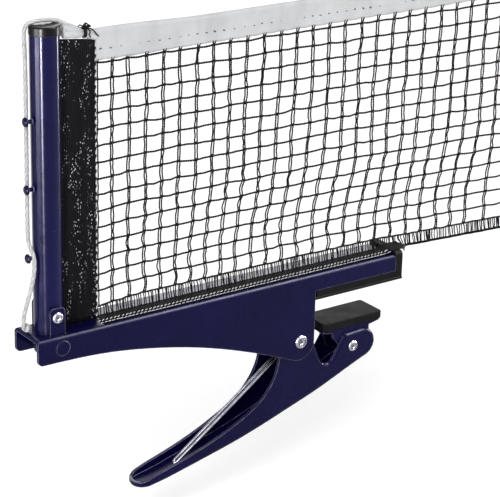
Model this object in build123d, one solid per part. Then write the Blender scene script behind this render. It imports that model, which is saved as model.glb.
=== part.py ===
from build123d import *
import math
import os

# Table tennis net clamp with its post, cord and the first stretch of its net.
# Frame, mm: the table's edge is the plane X = 0 with the table on the +X side, the playing
# surface is Z = 0, the net stands in the plane Y = 0 and +Z is up.

os.makedirs("parts", exist_ok=True)

# ---- sheet steel bracket: arm and upper jaw, one inverted channel -----------------------
SHEET = 1.5             # sheet thickness of bracket, lever, saddle and jaw plate
BEND = 2.0              # outer radius of the sheet's bends
ARM_WIDTH = 22.0        # over the bracket's flanges
WEB_TOP = 13.75         # top of the bracket's web
ARM_LENGTH = 157.5      # from the table's edge to the bracket's outer end
JAW_LENGTH = 51.0       # upper jaw, from the table's edge inwards
ARM_TIP_EDGE = 1.5      # lower edge of the flanges at the outer end
NOSE_R = 9.0            # rounded lower nose of the flanges, round the pivot
NOSE_Z = -21.4
ARM_EDGE = [(-119.0, 0.0), (-96.0, -3.4), (-69.6, -9.3), (-41.2, -18.3), (-17.9, -27.4)]

# ---- upper jaw pad -----------------------------------------------------------------------
PAD_THICK = 5.1         # rubber below the jaw's flanges
PAD_LIP = 1.5           # wider lip along the pad's lower edge
BUMPER_LENGTH = 4.6     # rubber block beyond the jaw's end
BUMPER_RISE = 1.6       # how far that block stands above the web
TONGUE_BACK = 1.5       # the pad's tongue reaches this far back between the flanges

# ---- post ---------------------------------------------------------------------------------
POST_INSET = 11.8       # post's axis, from the bracket's outer end
POST_R = 6.8
POST_WALL = 1.0
POST_TOP = 153.3
POST_SLOT = 3.2         # slot along the post, towards the net
CAP_R = 7.05
CAP_RISE = 4.2
SADDLE_WIDTH = 7.9      # the saddle's two ears hold the post's foot
SADDLE_TOP = 27.0
SADDLE_FOOT = 2.0
EAR_RIVET_Z = 22.3
EAR_RIVET_R = 2.7
FOOT_PIN_DX = 1.2       # from the post's axis
FOOT_PIN_Z = 8.0
FOOT_PIN_R = 3.45
STUD_Z = [114.5, 83.0, 50.4]
STUD_R = 2.2
STUD_NECK_R = 1.0
STUD_HEAD = 1.3

# ---- pivot, lever and spring --------------------------------------------------------------
PIVOT_X, PIVOT_Z = -8.4, -20.4
PIVOT_R = 2.5
RUN = 0.06              # radial clearance of a pin in a hole that turns on it
HEAD_R = 3.45
HEAD_H = 1.5
LEVER_TIP_WIDTH = 14.2
LEVER_TIP_X = -101.0
TAPER_X = -22.0         # the handle narrows outwards of this
LEVER_EAR_R = 9.25
LEVER_FLOOR = [(-103.0, -80.1), (-85.6, -77.6), (-70.8, -74.1), (-38.4, -65.6), (-15.6, -58.1),
               (5.5, -51.1), (21.2, -44.9), (36.2, -39.06)]
LEVER_RIM = [(-21.1, -34.1), (-25.4, -42.7), (-32.7, -50.3), (-42.4, -56.3), (-57.8, -63.3),
             (-78.8, -70.3), (-91.6, -73.9)]
LEVER_END_X, LEVER_END_Z, LEVER_END_R = 33.3, -31.6, 8.0
NOTCH = [(21.0, -24.2), (10.5, -41.3), (5.2, -32.1), (2.5, -24.8)]
NOTCH_R = 3.8
WIRE_R = 0.85
COIL_R = 4.7            # mean radius of the spring's coils
COIL_TURNS = 2          # whole turns in each coil, plus what the legs' directions add
BAIL_HALF = 1.2         # half the distance between the two wires of the long leg
COIL_OUT = 6.55         # the coils' outer ends, from the mid-plane
BAIL_X = -75.0          # where the long leg bears on the lever's floor
LEG_X = -43.0           # where the short legs bear on the web's underside
BUSH_R = 3.4

# ---- lower jaw ----------------------------------------------------------------------------
TABLE = 16.0            # table top between the pads, in the rest pose
JAW_PIN_X, JAW_PIN_Z = 26.4, -31.3
JAW_PIN_R = 2.0
JAW_HEAD_R = 2.8
JAW_PLATE = 36.0
JAW_RUBBER = 4.0
JAW_EAR_HALF = 11.6
JAW_EAR_R = 6.5
SIDE_GAP = 0.3          # between parts that turn past each other

# ---- net ------------------------------------------------------------------------------------
NET_TOP = 152.5
TAPE_DROP = 15.1        # width of the folded tape
TAPE_THICK = 1.4
TAPE_BEAD_R = 1.75      # the fold round the cord
TAPE_BUNCH = 3.4        # thickness where the tape is gathered on the sleeve
TIE_SEAT = 1.0          # room between sleeve and gathered tape for the tie's thread
SLEEVE_OUT = 25.2       # the sleeve's inner edge, from the post's axis
SLEEVE_THICK = 1.7
SLEEVE_TOP = 148.5
NET_END_X = 133.0       # end of the netting
END_BAND = 7.0
END_ROD_R = 2.5
ROD_R = 3.0
LOOP_WALL = 0.8         # fabric wrapped round a rod
FIT = 0.1               # clearance between parts that are fixed together
MESH_ROWS, MESH_COLUMNS = 12, 25
STRAND = 0.95
STRAND_THICK = 0.8
NET_LOW_LEFT, NET_LOW_RIGHT = 19.2, 14.6
HEM_THICK = 1.0
HEM_DROP = 5.6          # fringe and hem below the last row, where it hangs free
HEM_LIE = 6.4           # how far the hem lies out over the web
HEM_CLEAR = 0.25

# ---- cord -----------------------------------------------------------------------------------
CORD_R = 1.15
CORD_GAP = 0.15
STUD_NECK = CAP_R - POST_R + 2 * (CORD_R + CORD_GAP) + FIT   # the cord lies under the heads
KNOT_R = 2.1

POST_X = POST_INSET - ARM_LENGTH
LEVER_WIDTH = ARM_WIDTH - 2 * SHEET - 2 * SIDE_GAP
WEB_UNDER = WEB_TOP - SHEET
FLANGE_IN = ARM_WIDTH / 2 - SHEET
LEVER_IN = LEVER_WIDTH / 2 - SHEET
JAW_HALF = LEVER_IN - SIDE_GAP
EAR_IN = POST_R + FIT
EAR_OUT = EAR_IN + SHEET
SLEEVE_X = POST_X + SLEEVE_OUT
BUMPER_X = JAW_LENGTH + BUMPER_LENGTH
TAPE_LOW = NET_TOP - TAPE_DROP
CORD_Z = NET_TOP - TAPE_BEAD_R


def side_face(edges):
    """Face in the XZ plane from edges drawn in it."""
    return make_face(edges)


def p3(point, y=0.0):
    return (point[0], y, point[1])


def line_chain(points):
    return Polyline(*[p3(p) for p in points])


def across(face, width):
    """Prism of a side face, centred on the mid-plane."""
    return extrude(face, amount=width / 2, dir=(0, 1, 0), both=True)


def block(x0, x1, y0, y1, z0, z1):
    return Pos((x0 + x1) / 2, (y0 + y1) / 2, (z0 + z1) / 2) * Box(x1 - x0, y1 - y0, z1 - z0)


def bar(x, z, r, y0, y1):
    """Round bar along Y."""
    return Pos(x, (y0 + y1) / 2, z) * Rot(90, 0, 0) * Cylinder(r, y1 - y0)


def long_edges(solid, y, z_low, z_high, tol=0.02):
    """Edges along a bend: on the flanges' outer faces, between two heights."""
    found = []
    for edge in solid.edges():
        box = edge.bounding_box()
        flat = abs(abs(box.min.Y) - y) < tol and abs(abs(box.max.Y) - y) < tol
        if flat and box.min.Z > z_low and box.max.Z < z_high:
            found.append(edge)
    return found


def headed_pin(x, z, shank_r, half, head_r, head_h, dimple=0.35):
    """Riveted pin across the mid-plane: shank, two domed heads with a dimple each."""
    rim = 0.45 * head_h
    right = [
        Line((0, 0), (shank_r, 0)),
        Line((shank_r, 0), (shank_r, half)),
        Line((shank_r, half), (head_r, half)),
        Line((head_r, half), (head_r, half + rim)),
        ThreePointArc((head_r, half + rim), (0.8 * head_r, half + 0.86 * head_h),
                      (0.45 * head_r, half + head_h)),
        Line((0.45 * head_r, half + head_h), (0.3 * head_r, half + head_h - dimple)),
        Line((0.3 * head_r, half + head_h - dimple), (0, half + head_h - dimple)),
        Line((0, half + head_h - dimple), (0, 0)),
    ]
    one = revolve(make_face(right), axis=Axis.Y)
    pin = one + mirror(one, about=Plane.XZ)
    return Pos(x, 0, z) * pin


# ---- bracket ----------------------------------------------------------------------------------

def bracket_outline():
    """Side view of the bracket's flanges."""
    left = -ARM_LENGTH
    nose_x = -NOSE_R
    slope = Vector(ARM_EDGE[-1][0] - nose_x, ARM_EDGE[-1][1] - NOSE_Z)
    turn = math.atan2(slope.Y, slope.X) + math.acos(NOSE_R / slope.length)
    low = (nose_x + NOSE_R * math.cos(turn), NOSE_Z + NOSE_R * math.sin(turn))
    mid = (turn + 2 * math.pi) / 2 if turn > 0 else turn / 2
    mid_point = (nose_x + NOSE_R * math.cos(mid), NOSE_Z + NOSE_R * math.sin(mid))
    away = (Vector(*ARM_EDGE[-1]) - Vector(*low)).normalized()
    start = (left + 2.5, ARM_TIP_EDGE)
    edges = [
        Line(p3((left, WEB_TOP)), p3((JAW_LENGTH, WEB_TOP))),
        Line(p3((JAW_LENGTH, WEB_TOP)), p3((JAW_LENGTH, PAD_THICK))),
        Line(p3((JAW_LENGTH, PAD_THICK)), p3((1.0, PAD_THICK))),
        ThreePointArc(p3((1.0, PAD_THICK)), p3((0.293, PAD_THICK - 0.293)), p3((0, PAD_THICK - 1.0))),
        Line(p3((0, PAD_THICK - 1.0)), p3((0, NOSE_Z))),
        ThreePointArc(p3((0, NOSE_Z)), p3(mid_point), p3(low)),
        Line(p3(low), p3(ARM_EDGE[-1])),
        Spline(*[p3(q) for q in reversed(ARM_EDGE)], p3(start),
               tangents=[(away.X, 0, away.Y), (-1, 0, 0.01)]),
        ThreePointArc(p3(start), p3((left + 0.73, ARM_TIP_EDGE + 0.73)), p3((left, ARM_TIP_EDGE + 2.5))),
        Line(p3((left, ARM_TIP_EDGE + 2.5)), p3((left, WEB_TOP))),
    ]
    return side_face(edges)


def make_bracket():
    body = across(bracket_outline(), ARM_WIDTH)
    body = fillet(long_edges(body, ARM_WIDTH / 2, WEB_TOP - 0.02, WEB_TOP + 0.02), BEND)
    hollow = block(-ARM_LENGTH - 5, JAW_LENGTH + 5, -FLANGE_IN, FLANGE_IN, -60, WEB_UNDER)
    hollow = fillet(long_edges(hollow, FLANGE_IN, WEB_UNDER - 0.02, WEB_UNDER + 0.02), BEND - SHEET)
    body = body - hollow
    # opening for the post, and its two slots for the saddle's ears
    body -= Pos(POST_X, 0, WEB_TOP) * Cylinder(POST_R + FIT, 4 * SHEET)
    half = SADDLE_WIDTH / 2 + 0.5
    body -= block(POST_X - half, POST_X + half, -EAR_OUT - 0.3, EAR_OUT + 0.3,
                  WEB_UNDER - SHEET, WEB_TOP + SHEET)
    body -= bar(POST_X + FOOT_PIN_DX, FOOT_PIN_Z, FOOT_PIN_R + 0.2, -ARM_WIDTH, ARM_WIDTH)
    body -= bar(PIVOT_X, PIVOT_Z, PIVOT_R + 0.03, -ARM_WIDTH, ARM_WIDTH)
    return body


def make_pad():
    """Rubber pad: sole under the jaw, tongue inside the channel, block over its end."""
    half = ARM_WIDTH / 2 - 0.1
    lip = ARM_WIDTH / 2 + 0.25
    x0 = SIDE_GAP
    sole = block(x0 + 1.0, BUMPER_X, -half, half, 0.4, PAD_THICK - 0.02)
    lips = fillet(block(x0, BUMPER_X, -lip, lip, 0, PAD_LIP).edges().filter_by(Axis.X), 0.55)
    tongue = block(-TONGUE_BACK, JAW_LENGTH + 0.5, -FLANGE_IN + 0.1, FLANGE_IN - 0.1, 0, WEB_UNDER - 0.1)
    tongue = fillet(long_edges(tongue, FLANGE_IN - 0.1, WEB_UNDER - 0.12, WEB_UNDER), BEND - SHEET + 0.2)
    block_end = block(JAW_LENGTH + 0.02, BUMPER_X, -half, half, 0.4, WEB_TOP + BUMPER_RISE)
    block_end = fillet(block_end.edges().filter_by(Axis.X).group_by(Axis.Z)[-1], 2.4)
    pad = sole + lips + tongue + block_end
    ends = [e for e in pad.edges() if e.bounding_box().min.X > BUMPER_X - 0.01]
    return fillet(ends, 0.5)


# ---- post --------------------------------------------------------------------------------------

def make_post():
    z0 = SADDLE_FOOT + SHEET + 0.5
    height = POST_TOP - z0
    tube = Pos(POST_X, 0, z0 + height / 2) * (Cylinder(POST_R, height)
                                              - Cylinder(POST_R - POST_WALL, height))
    tube -= block(POST_X, POST_X + 2 * POST_R, -POST_SLOT / 2, POST_SLOT / 2, z0 - 1, POST_TOP + 1)
    tube -= bar(POST_X, EAR_RIVET_Z, EAR_RIVET_R * 0.6 + 0.05, -POST_R - 1, POST_R + 1)
    tube -= bar(POST_X + FOOT_PIN_DX, FOOT_PIN_Z, FOOT_PIN_R * 0.65 + 0.05, -POST_R - 1, POST_R + 1)
    for z in STUD_Z:
        tube -= Pos(POST_X - POST_R, 0, z) * Rot(0, 90, 0) * Cylinder(STUD_NECK_R + 0.03, 4 * POST_WALL)
    return tube


def make_saddle():
    """U-shaped saddle in the channel; its two ears rise through the web on the post's sides."""
    z0 = SADDLE_FOOT
    outer = block(POST_X - SADDLE_WIDTH / 2, POST_X + SADDLE_WIDTH / 2, -EAR_OUT, EAR_OUT, z0, SADDLE_TOP)
    outer = fillet(long_edges(outer, EAR_OUT, z0 - 0.01, z0 + 0.01), BEND)
    ends = outer.edges().filter_by(Axis.Y).group_by(Axis.Z)[-1]
    outer = fillet(ends, 2.0)
    inner = block(POST_X - SADDLE_WIDTH, POST_X + SADDLE_WIDTH, -EAR_IN, EAR_IN, z0 + SHEET, SADDLE_TOP + 1)
    inner = fillet(long_edges(inner, EAR_IN, z0 + SHEET - 0.01, z0 + SHEET + 0.01), BEND - SHEET)
    saddle = outer - inner
    saddle -= bar(POST_X, EAR_RIVET_Z, EAR_RIVET_R * 0.6 + 0.05, -ARM_WIDTH, ARM_WIDTH)
    saddle -= bar(POST_X + FOOT_PIN_DX, FOOT_PIN_Z, FOOT_PIN_R * 0.65 + 0.05, -ARM_WIDTH, ARM_WIDTH)
    return saddle


def make_cap():
    """Moulded cap: rounded disc on the tube's end with a plug inside it."""
    plug = POST_R - POST_WALL - 0.1
    top = POST_TOP + CAP_RISE
    edges = [
        Line((0, POST_TOP - 2.2), (plug, POST_TOP - 2.2)),
        Line((plug, POST_TOP - 2.2), (plug, POST_TOP + 0.02)),
        Line((plug, POST_TOP + 0.02), (CAP_R, POST_TOP + 0.02)),
        Line((CAP_R, POST_TOP + 0.02), (CAP_R, top - 0.8)),
        ThreePointArc((CAP_R, top - 0.8), (CAP_R - 0.234, top - 0.234), (CAP_R - 0.8, top)),
        Line((CAP_R - 0.8, top), (0, top)),
        Line((0, top), (0, POST_TOP - 2.2)),
    ]
    cap = revolve(make_face([Plane.XZ * e for e in edges]), axis=Axis.Z)
    return Pos(POST_X, 0, 0) * cap


def make_studs():
    """Three studs on the post's outer side, riveted through its wall."""
    neck = STUD_NECK + POST_WALL
    collar = STUD_NECK_R + 0.5
    tip = neck + STUD_HEAD
    edges = Polyline((0, 0), (0, STUD_NECK_R), (-POST_WALL, STUD_NECK_R), (-POST_WALL, collar),
                     (-POST_WALL - 0.25, collar), (-POST_WALL - 0.35, STUD_NECK_R),
                     (-neck, STUD_NECK_R), (-neck, STUD_R), (-neck - 0.5, STUD_R)).edges()
    dome = ThreePointArc((-neck - 0.5, STUD_R), (-neck - 0.87 * STUD_HEAD, 0.8 * STUD_R),
                         (-tip, 0.45 * STUD_R))
    face = make_face(edges + [dome] + Polyline((-tip, 0.45 * STUD_R), (-tip, 0), (0, 0)).edges())
    stud = revolve(face, axis=Axis.X)
    x = POST_X - POST_R + POST_WALL
    return [Pos(x, 0, z) * stud for z in STUD_Z]


def make_foot_pin():
    x, z = POST_X + FOOT_PIN_DX, FOOT_PIN_Z
    pin = bar(x, z, FOOT_PIN_R * 0.65, -ARM_WIDTH / 2, ARM_WIDTH / 2)
    for s in (1, -1):
        y0, y1 = sorted((s * (EAR_OUT + 0.05), s * (ARM_WIDTH / 2 + 0.3)))
        head = bar(x, z, FOOT_PIN_R, y0, y1)
        rim = head.edges().group_by(Axis.Y)[-1 if s > 0 else 0]
        pin += fillet(rim, 0.3)
    return pin


# ---- lever and its spring ------------------------------------------------------------------------

def shifted(points, d):
    """Points of a curve moved sideways by d, to the left of its direction."""
    out = []
    for i, p in enumerate(points):
        a, b = points[max(i - 1, 0)], points[min(i + 1, len(points) - 1)]
        t = Vector(b[0] - a[0], b[1] - a[1]).normalized()
        out.append((p[0] - t.Y * d, p[1] + t.X * d))
    return out


def lever_outline():
    """Side view of the lever: handle, ears on the pivot, notch and jaw end."""
    fx, fz = LEVER_FLOOR[-1]
    cx, cz, r = LEVER_END_X, LEVER_END_Z, LEVER_END_R
    ear = 0.1
    ear_right = (PIVOT_X + LEVER_EAR_R * math.cos(ear), PIVOT_Z + LEVER_EAR_R * math.sin(ear))
    ear_left = (PIVOT_X - LEVER_EAR_R * math.cos(ear), PIVOT_Z + LEVER_EAR_R * math.sin(ear))
    rim_end = (-98.5, -76.4)
    start = LEVER_FLOOR[0]
    notch_top, notch_low, notch_mid, notch_left = NOTCH
    edges = [
        Spline(*[p3(q) for q in LEVER_FLOOR]),
        ThreePointArc(p3((fx, fz)), p3((cx + r, cz)), p3((cx, cz + r))),
        Line(p3((cx, cz + r)), p3(notch_top)),
        Line(p3(notch_top), p3(notch_low)),
        Line(p3(notch_low), p3(notch_mid)),
        Line(p3(notch_mid), p3(notch_left)),
        Line(p3(notch_left), p3(ear_right)),
        ThreePointArc(p3(ear_right), p3((PIVOT_X, PIVOT_Z + LEVER_EAR_R)), p3(ear_left)),
        Line(p3(ear_left), p3(LEVER_RIM[0])),
        Spline(*[p3(q) for q in LEVER_RIM], p3(rim_end)),
        Line(p3(rim_end), p3((start[0], rim_end[1]))),
        Line(p3((start[0], rim_end[1])), p3(start)),
    ]
    face = side_face(edges)
    corner = lambda q: [v for v in face.vertices() if abs(v.X - q[0]) + abs(v.Z - q[1]) < 0.02]
    for q, radius in ((notch_low, NOTCH_R), (notch_top, 4.0), (notch_mid, 8.0), (notch_left, 4.0),
                      (LEVER_RIM[0], 12.0)):
        face = fillet(corner(q), radius)
    return face


def plan_face(inset):
    """Plan view of the lever, narrowing to its rounded tip."""
    w, t = LEVER_WIDTH / 2 - inset, LEVER_TIP_WIDTH / 2 - inset
    tip = LEVER_TIP_X + inset
    base = LEVER_TIP_X + LEVER_TIP_WIDTH / 2 - 0.6
    end = LEVER_END_X + 30
    edges = [
        Line((end, w), (TAPER_X, w)),
        Line((TAPER_X, w), (base, t)),
        ThreePointArc((base, t), (tip, 0), (base, -t)),
        Line((base, -t), (TAPER_X, -w)),
        Line((TAPER_X, -w), (end, -w)),
        Line((end, -w), (end, w)),
    ]
    return make_face(edges)


def make_lever():
    low, high = -90.0, 0.0
    outer = across(lever_outline(), 3 * LEVER_WIDTH)
    outer &= Pos(0, 0, low) * extrude(plan_face(0.0), amount=high - low)
    floor_edges = []
    for edge in outer.edges():
        box = edge.bounding_box()
        centre = edge.center()
        floor_z = floor_height(centre.X)
        on_floor = abs(centre.Z - floor_z) < 0.35 and centre.X < LEVER_FLOOR[-1][0]
        if on_floor and box.size.Y < LEVER_TIP_WIDTH + 1 and box.size.length > 1.0:
            floor_edges.append(edge)
    outer = fillet(floor_edges, BEND)
    # inside of the channel: the floor curve raised by the sheet, open to the right of the end
    rise = shifted(LEVER_FLOOR, SHEET)
    cx, cz, r = LEVER_END_X, LEVER_END_Z, LEVER_END_R - SHEET
    stop = (cx + r * math.cos(-0.3), cz + r * math.sin(-0.3))
    mid = (cx + r * math.cos(-0.75), cz + r * math.sin(-0.75))
    space = side_face([
        Spline(*[p3(q) for q in rise]),
        ThreePointArc(p3(rise[-1]), p3(mid), p3(stop)),
        Line(p3(stop), p3((cx + 20, stop[1]))),
        Line(p3((cx + 20, stop[1])), p3((cx + 20, 0))),
        Line(p3((cx + 20, 0)), p3((rise[0][0] - 5, 0))),
        Line(p3((rise[0][0] - 5, 0)), p3((rise[0][0] - 5, rise[0][1]))),
        Line(p3((rise[0][0] - 5, rise[0][1])), p3(rise[0])),
    ])
    cavity = across(space, 3 * LEVER_WIDTH)
    cavity &= Pos(0, 0, low) * extrude(plan_face(SHEET), amount=high - low)
    lever = outer - cavity
    lever -= bar(PIVOT_X, PIVOT_Z, PIVOT_R + RUN, -LEVER_WIDTH, LEVER_WIDTH)
    lever -= bar(JAW_PIN_X, JAW_PIN_Z, JAW_PIN_R + 0.03, -LEVER_WIDTH, LEVER_WIDTH)
    return lever


def floor_height(x):
    """Height of the lever's outer floor at x, along straight pieces between its points."""
    pts = LEVER_FLOOR
    for a, b in zip(pts, pts[1:]):
        if x <= b[0]:
            return a[1] + (b[1] - a[1]) * (x - a[0]) / (b[0] - a[0])
    return pts[-1][1]


def tangent_angle(px, pz, arriving):
    """Angle on the coil of the tangent to a point, for a wire that turns anticlockwise."""
    dx, dz = px - PIVOT_X, pz - PIVOT_Z
    spread = math.acos(COIL_R / math.hypot(dx, dz))
    base = math.atan2(dz, dx)
    return base + spread if arriving else base - spread


def biarc(p0, t0, p1, t1):
    """Two tangent arcs from p0 along t0 to p1 along t1."""
    v, s = p1 - p0, t0 + t1
    k = 1 - t0.dot(t1)
    d = (-v.dot(s) + math.sqrt(v.dot(s) ** 2 + 2 * k * v.dot(v))) / (2 * k)
    joint = (p0 + t0 * d + p1 - t1 * d) * 0.5
    along = ((p1 - t1 * d) - (p0 + t0 * d)).normalized()
    return [Edge.make_tangent_arc(p0, t0, joint), Edge.make_tangent_arc(joint, along, p1)]


def spring_path():
    """Double torsion spring: short leg, coil, long bail, coil, short leg, as one wire."""
    fz = floor_height(BAIL_X)
    slope = (floor_height(BAIL_X + 5) - floor_height(BAIL_X - 5)) / 10
    rise = (SHEET + WIRE_R + 0.4) / math.cos(math.atan(slope))
    bail = (BAIL_X, fz + rise)
    leg = (LEG_X, WEB_UNDER - WIRE_R - 0.1)
    a0 = tangent_angle(*bail, True)
    a1 = tangent_angle(*leg, False)
    while a1 < a0:
        a1 += 2 * math.pi
    a1 += 2 * math.pi * COIL_TURNS
    steps = math.ceil((a1 - a0) / (math.pi / 2))
    advance = (COIL_OUT - BAIL_HALF) / (a1 - a0)

    def on_coil(a, side):
        y = side * (BAIL_HALF + advance * (a - a0))
        point = Vector(PIVOT_X + COIL_R * math.cos(a), y, PIVOT_Z + COIL_R * math.sin(a))
        rate = 0 if a in (a0, a1) else side * advance
        return point, Vector(-COIL_R * math.sin(a), rate, COIL_R * math.cos(a)).normalized()

    def coil(side):
        edges = []
        for i in range(steps):
            here = a0 + (a1 - a0) * i / steps
            there = a1 if i == steps - 1 else a0 + (a1 - a0) * (i + 1) / steps
            p0, t0 = on_coil(here, side)
            p1, t1 = on_coil(there, side)
            edges += biarc(p0, t0, p1, t1)
        return edges

    def reverse(edges):
        return [Edge.make_three_point_arc(e @ 1, e @ 0.5, e @ 0) for e in reversed(edges)]

    near_end, far_end = (Vector(bail[0], s * BAIL_HALF, bail[1]) for s in (-1, 1))
    root_near, _ = on_coil(a0, -1)
    root_far, _ = on_coil(a0, 1)
    tip_near, _ = on_coil(a1, -1)
    tip_far, _ = on_coil(a1, 1)
    out = (near_end - root_near).normalized()
    top = Vector(bail[0], 0, bail[1]) + out * BAIL_HALF
    path = [Edge.make_line(Vector(leg[0], -COIL_OUT, leg[1]), tip_near)]
    path += reverse(coil(-1))
    path.append(Edge.make_line(root_near, near_end))
    path.append(Edge.make_three_point_arc(near_end, top, far_end))
    path.append(Edge.make_line(far_end, root_far))
    path += coil(1)
    path.append(Edge.make_line(tip_far, Vector(leg[0], COIL_OUT, leg[1])))
    return Wire(path)


def make_spring():
    path = spring_path()
    start = path @ 0
    profile = Plane(origin=start, z_dir=path % 0) * Circle(WIRE_R)
    spring = sweep(profile, path=path)
    length = path.length
    count = int(length / 0.6)
    points = [path @ (i / count) for i in range(count + 1)]
    apart = int(3 * math.pi * WIRE_R / 0.6) + 1
    least = min((points[i] - points[j]).length for i in range(len(points))
                for j in range(i + apart, len(points)))
    print("torsion_spring: length %.1f, least gap to itself %.2f mm, volume over section x length %.4f"
          % (length, least - 2 * WIRE_R, spring.volume / (math.pi * WIRE_R ** 2 * length)))
    return spring


def make_bush():
    half = LEVER_IN - SIDE_GAP
    return bar(PIVOT_X, PIVOT_Z, BUSH_R, -half, half) - bar(PIVOT_X, PIVOT_Z, PIVOT_R + 0.03, -half, half)


# ---- lower jaw --------------------------------------------------------------------------------

def make_jaw_plate():
    """Small inverted channel that swivels on the jaw pin."""
    top = -TABLE - JAW_RUBBER
    x0, x1 = JAW_PIN_X - JAW_PLATE / 2, JAW_PIN_X + JAW_PLATE / 2
    e, r = JAW_EAR_HALF, JAW_EAR_R
    side = side_face([
        line_chain([(x0, top), (x1, top), (x1, top - SHEET), (JAW_PIN_X + e, top - SHEET - 1.2)]),
        line_chain([(JAW_PIN_X + e, top - SHEET - 1.2), (JAW_PIN_X + e, top - 5.0),
                    (JAW_PIN_X + r, JAW_PIN_Z)]),
        ThreePointArc(p3((JAW_PIN_X + r, JAW_PIN_Z)), p3((JAW_PIN_X, JAW_PIN_Z - r)),
                      p3((JAW_PIN_X - r, JAW_PIN_Z))),
        line_chain([(JAW_PIN_X - r, JAW_PIN_Z), (JAW_PIN_X - e, top - 5.0),
                    (JAW_PIN_X - e, top - SHEET - 1.2)]),
        line_chain([(JAW_PIN_X - e, top - SHEET - 1.2), (x0, top - SHEET), (x0, top)]),
    ])
    body = across(side, 2 * JAW_HALF)
    body = fillet(long_edges(body, JAW_HALF, top - 0.02, top + 0.02), 0.8 * SHEET)
    inner = JAW_HALF - SHEET
    body -= block(x0 - 1, x1 + 1, -inner, inner, JAW_PIN_Z - 20, top - SHEET)
    body -= bar(JAW_PIN_X, JAW_PIN_Z, JAW_PIN_R + RUN, -LEVER_WIDTH, LEVER_WIDTH)
    return body


def make_jaw_rubber():
    x0, x1 = JAW_PIN_X - JAW_PLATE / 2, JAW_PIN_X + JAW_PLATE / 2
    half = LEVER_WIDTH / 2 - 0.3
    rubber = block(x0 - 0.6, x1 + 0.6, -half, half, -TABLE - JAW_RUBBER, -TABLE)
    rubber = fillet(rubber.edges().filter_by(Axis.Z), 1.5)
    return fillet(rubber.edges().group_by(Axis.Z)[-1], 0.6)


# ---- cord ---------------------------------------------------------------------------------------

def cord_route():
    """Corners of the cord, from the net's far end over the cap and down the studs, with radii."""
    top = POST_TOP + CAP_RISE + CORD_R + CORD_GAP
    side = POST_X - CAP_R - CORD_R - CORD_GAP
    past = STUD_NECK_R + CORD_R + CORD_GAP
    web = WEB_TOP + CORD_R + CORD_GAP
    return [
        ((NET_END_X, 0, CORD_Z), 0),
        ((SLEEVE_X - 7.5, 0, CORD_Z), 7.0),
        ((POST_X + CAP_R + 0.9, 0.3, top), 6.0),
        ((side, past, top), 2.1),
        ((side, past, STUD_Z[1] - 4.0), 12.0),
        ((side, -past, STUD_Z[2] + 3.0), 12.0),
        ((side, -past, STUD_Z[2] - 2.9), 12.0),
        ((side - 0.9, -past + 1.0, STUD_Z[2] - 12.0), 12.0),
        ((side - 4.3, 0.6, 22.5), 5.0),
        ((side - 3.6, 1.4, web + 0.5), 2.6),
        ((POST_X - POST_R - 2.6, 2.6, web), 0),
    ]


def cord_path():
    route = cord_route()
    points = [p for p, _ in route]
    radii = [r for _, r in route[1:-1]]
    return FilletPolyline(*points, radius=radii), radii


def cord_tube(radius):
    path, _ = cord_path()
    profile = Plane(origin=path @ 0, z_dir=path % 0) * Circle(radius)
    return sweep(profile, path=path.edges())


def make_cord():
    path, radii = cord_path()
    cord = cord_tube(CORD_R)
    print("net_cord: length %.1f, radii %s, volume over section x length %.4f"
          % (path.length, radii, cord.volume / (math.pi * CORD_R ** 2 * path.length)))
    return cord


def make_knot():
    """Overhand knot that ends the cord against the post's foot."""
    end = cord_route()[-1][0]
    low = WEB_TOP + 0.1
    knot = Pos(end[0] - 0.9, end[1] - 0.3, low + 0.8 * KNOT_R) * Sphere(KNOT_R)
    knot -= block(end[0] - 9, end[0] + 9, -9, 9, low - 9, low)
    return knot - cord_tube(CORD_R + 0.03)


# ---- net ------------------------------------------------------------------------------------------

def net_low(x):
    """Height of the netting's last row at x."""
    t = (x - SLEEVE_X) / (NET_END_X - SLEEVE_X)
    return NET_LOW_LEFT + (NET_LOW_RIGHT - NET_LOW_LEFT) * t


def make_mesh():
    """Netting as one flat face with a hole for each mesh, given the strands' thickness."""
    x0, x1 = SLEEVE_X, NET_END_X

    def at(u, v):
        x = x0 + (x1 - x0) * u
        z = net_low(x) + (TAPE_LOW - net_low(x)) * v
        return x, z

    def ring(points):
        return Wire(Polyline(*[p3(q) for q in points], close=True).edges())

    outer = ring([at(0, 0), at(1, 0), at(1, 1), at(0, 1)])
    holes = []
    h = STRAND / 2
    for i in range(MESH_COLUMNS):
        for j in range(MESH_ROWS):
            a, b = at(i / MESH_COLUMNS, j / MESH_ROWS), at((i + 1) / MESH_COLUMNS, j / MESH_ROWS)
            c, d = at((i + 1) / MESH_COLUMNS, (j + 1) / MESH_ROWS), at(i / MESH_COLUMNS, (j + 1) / MESH_ROWS)
            holes.append(ring([(a[0] + h, a[1] + h), (b[0] - h, b[1] + h),
                               (c[0] - h, c[1] - h), (d[0] + h, d[1] - h)]))
    return extrude(Face(outer, holes), amount=STRAND_THICK / 2, dir=(0, 1, 0), both=True)


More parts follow.
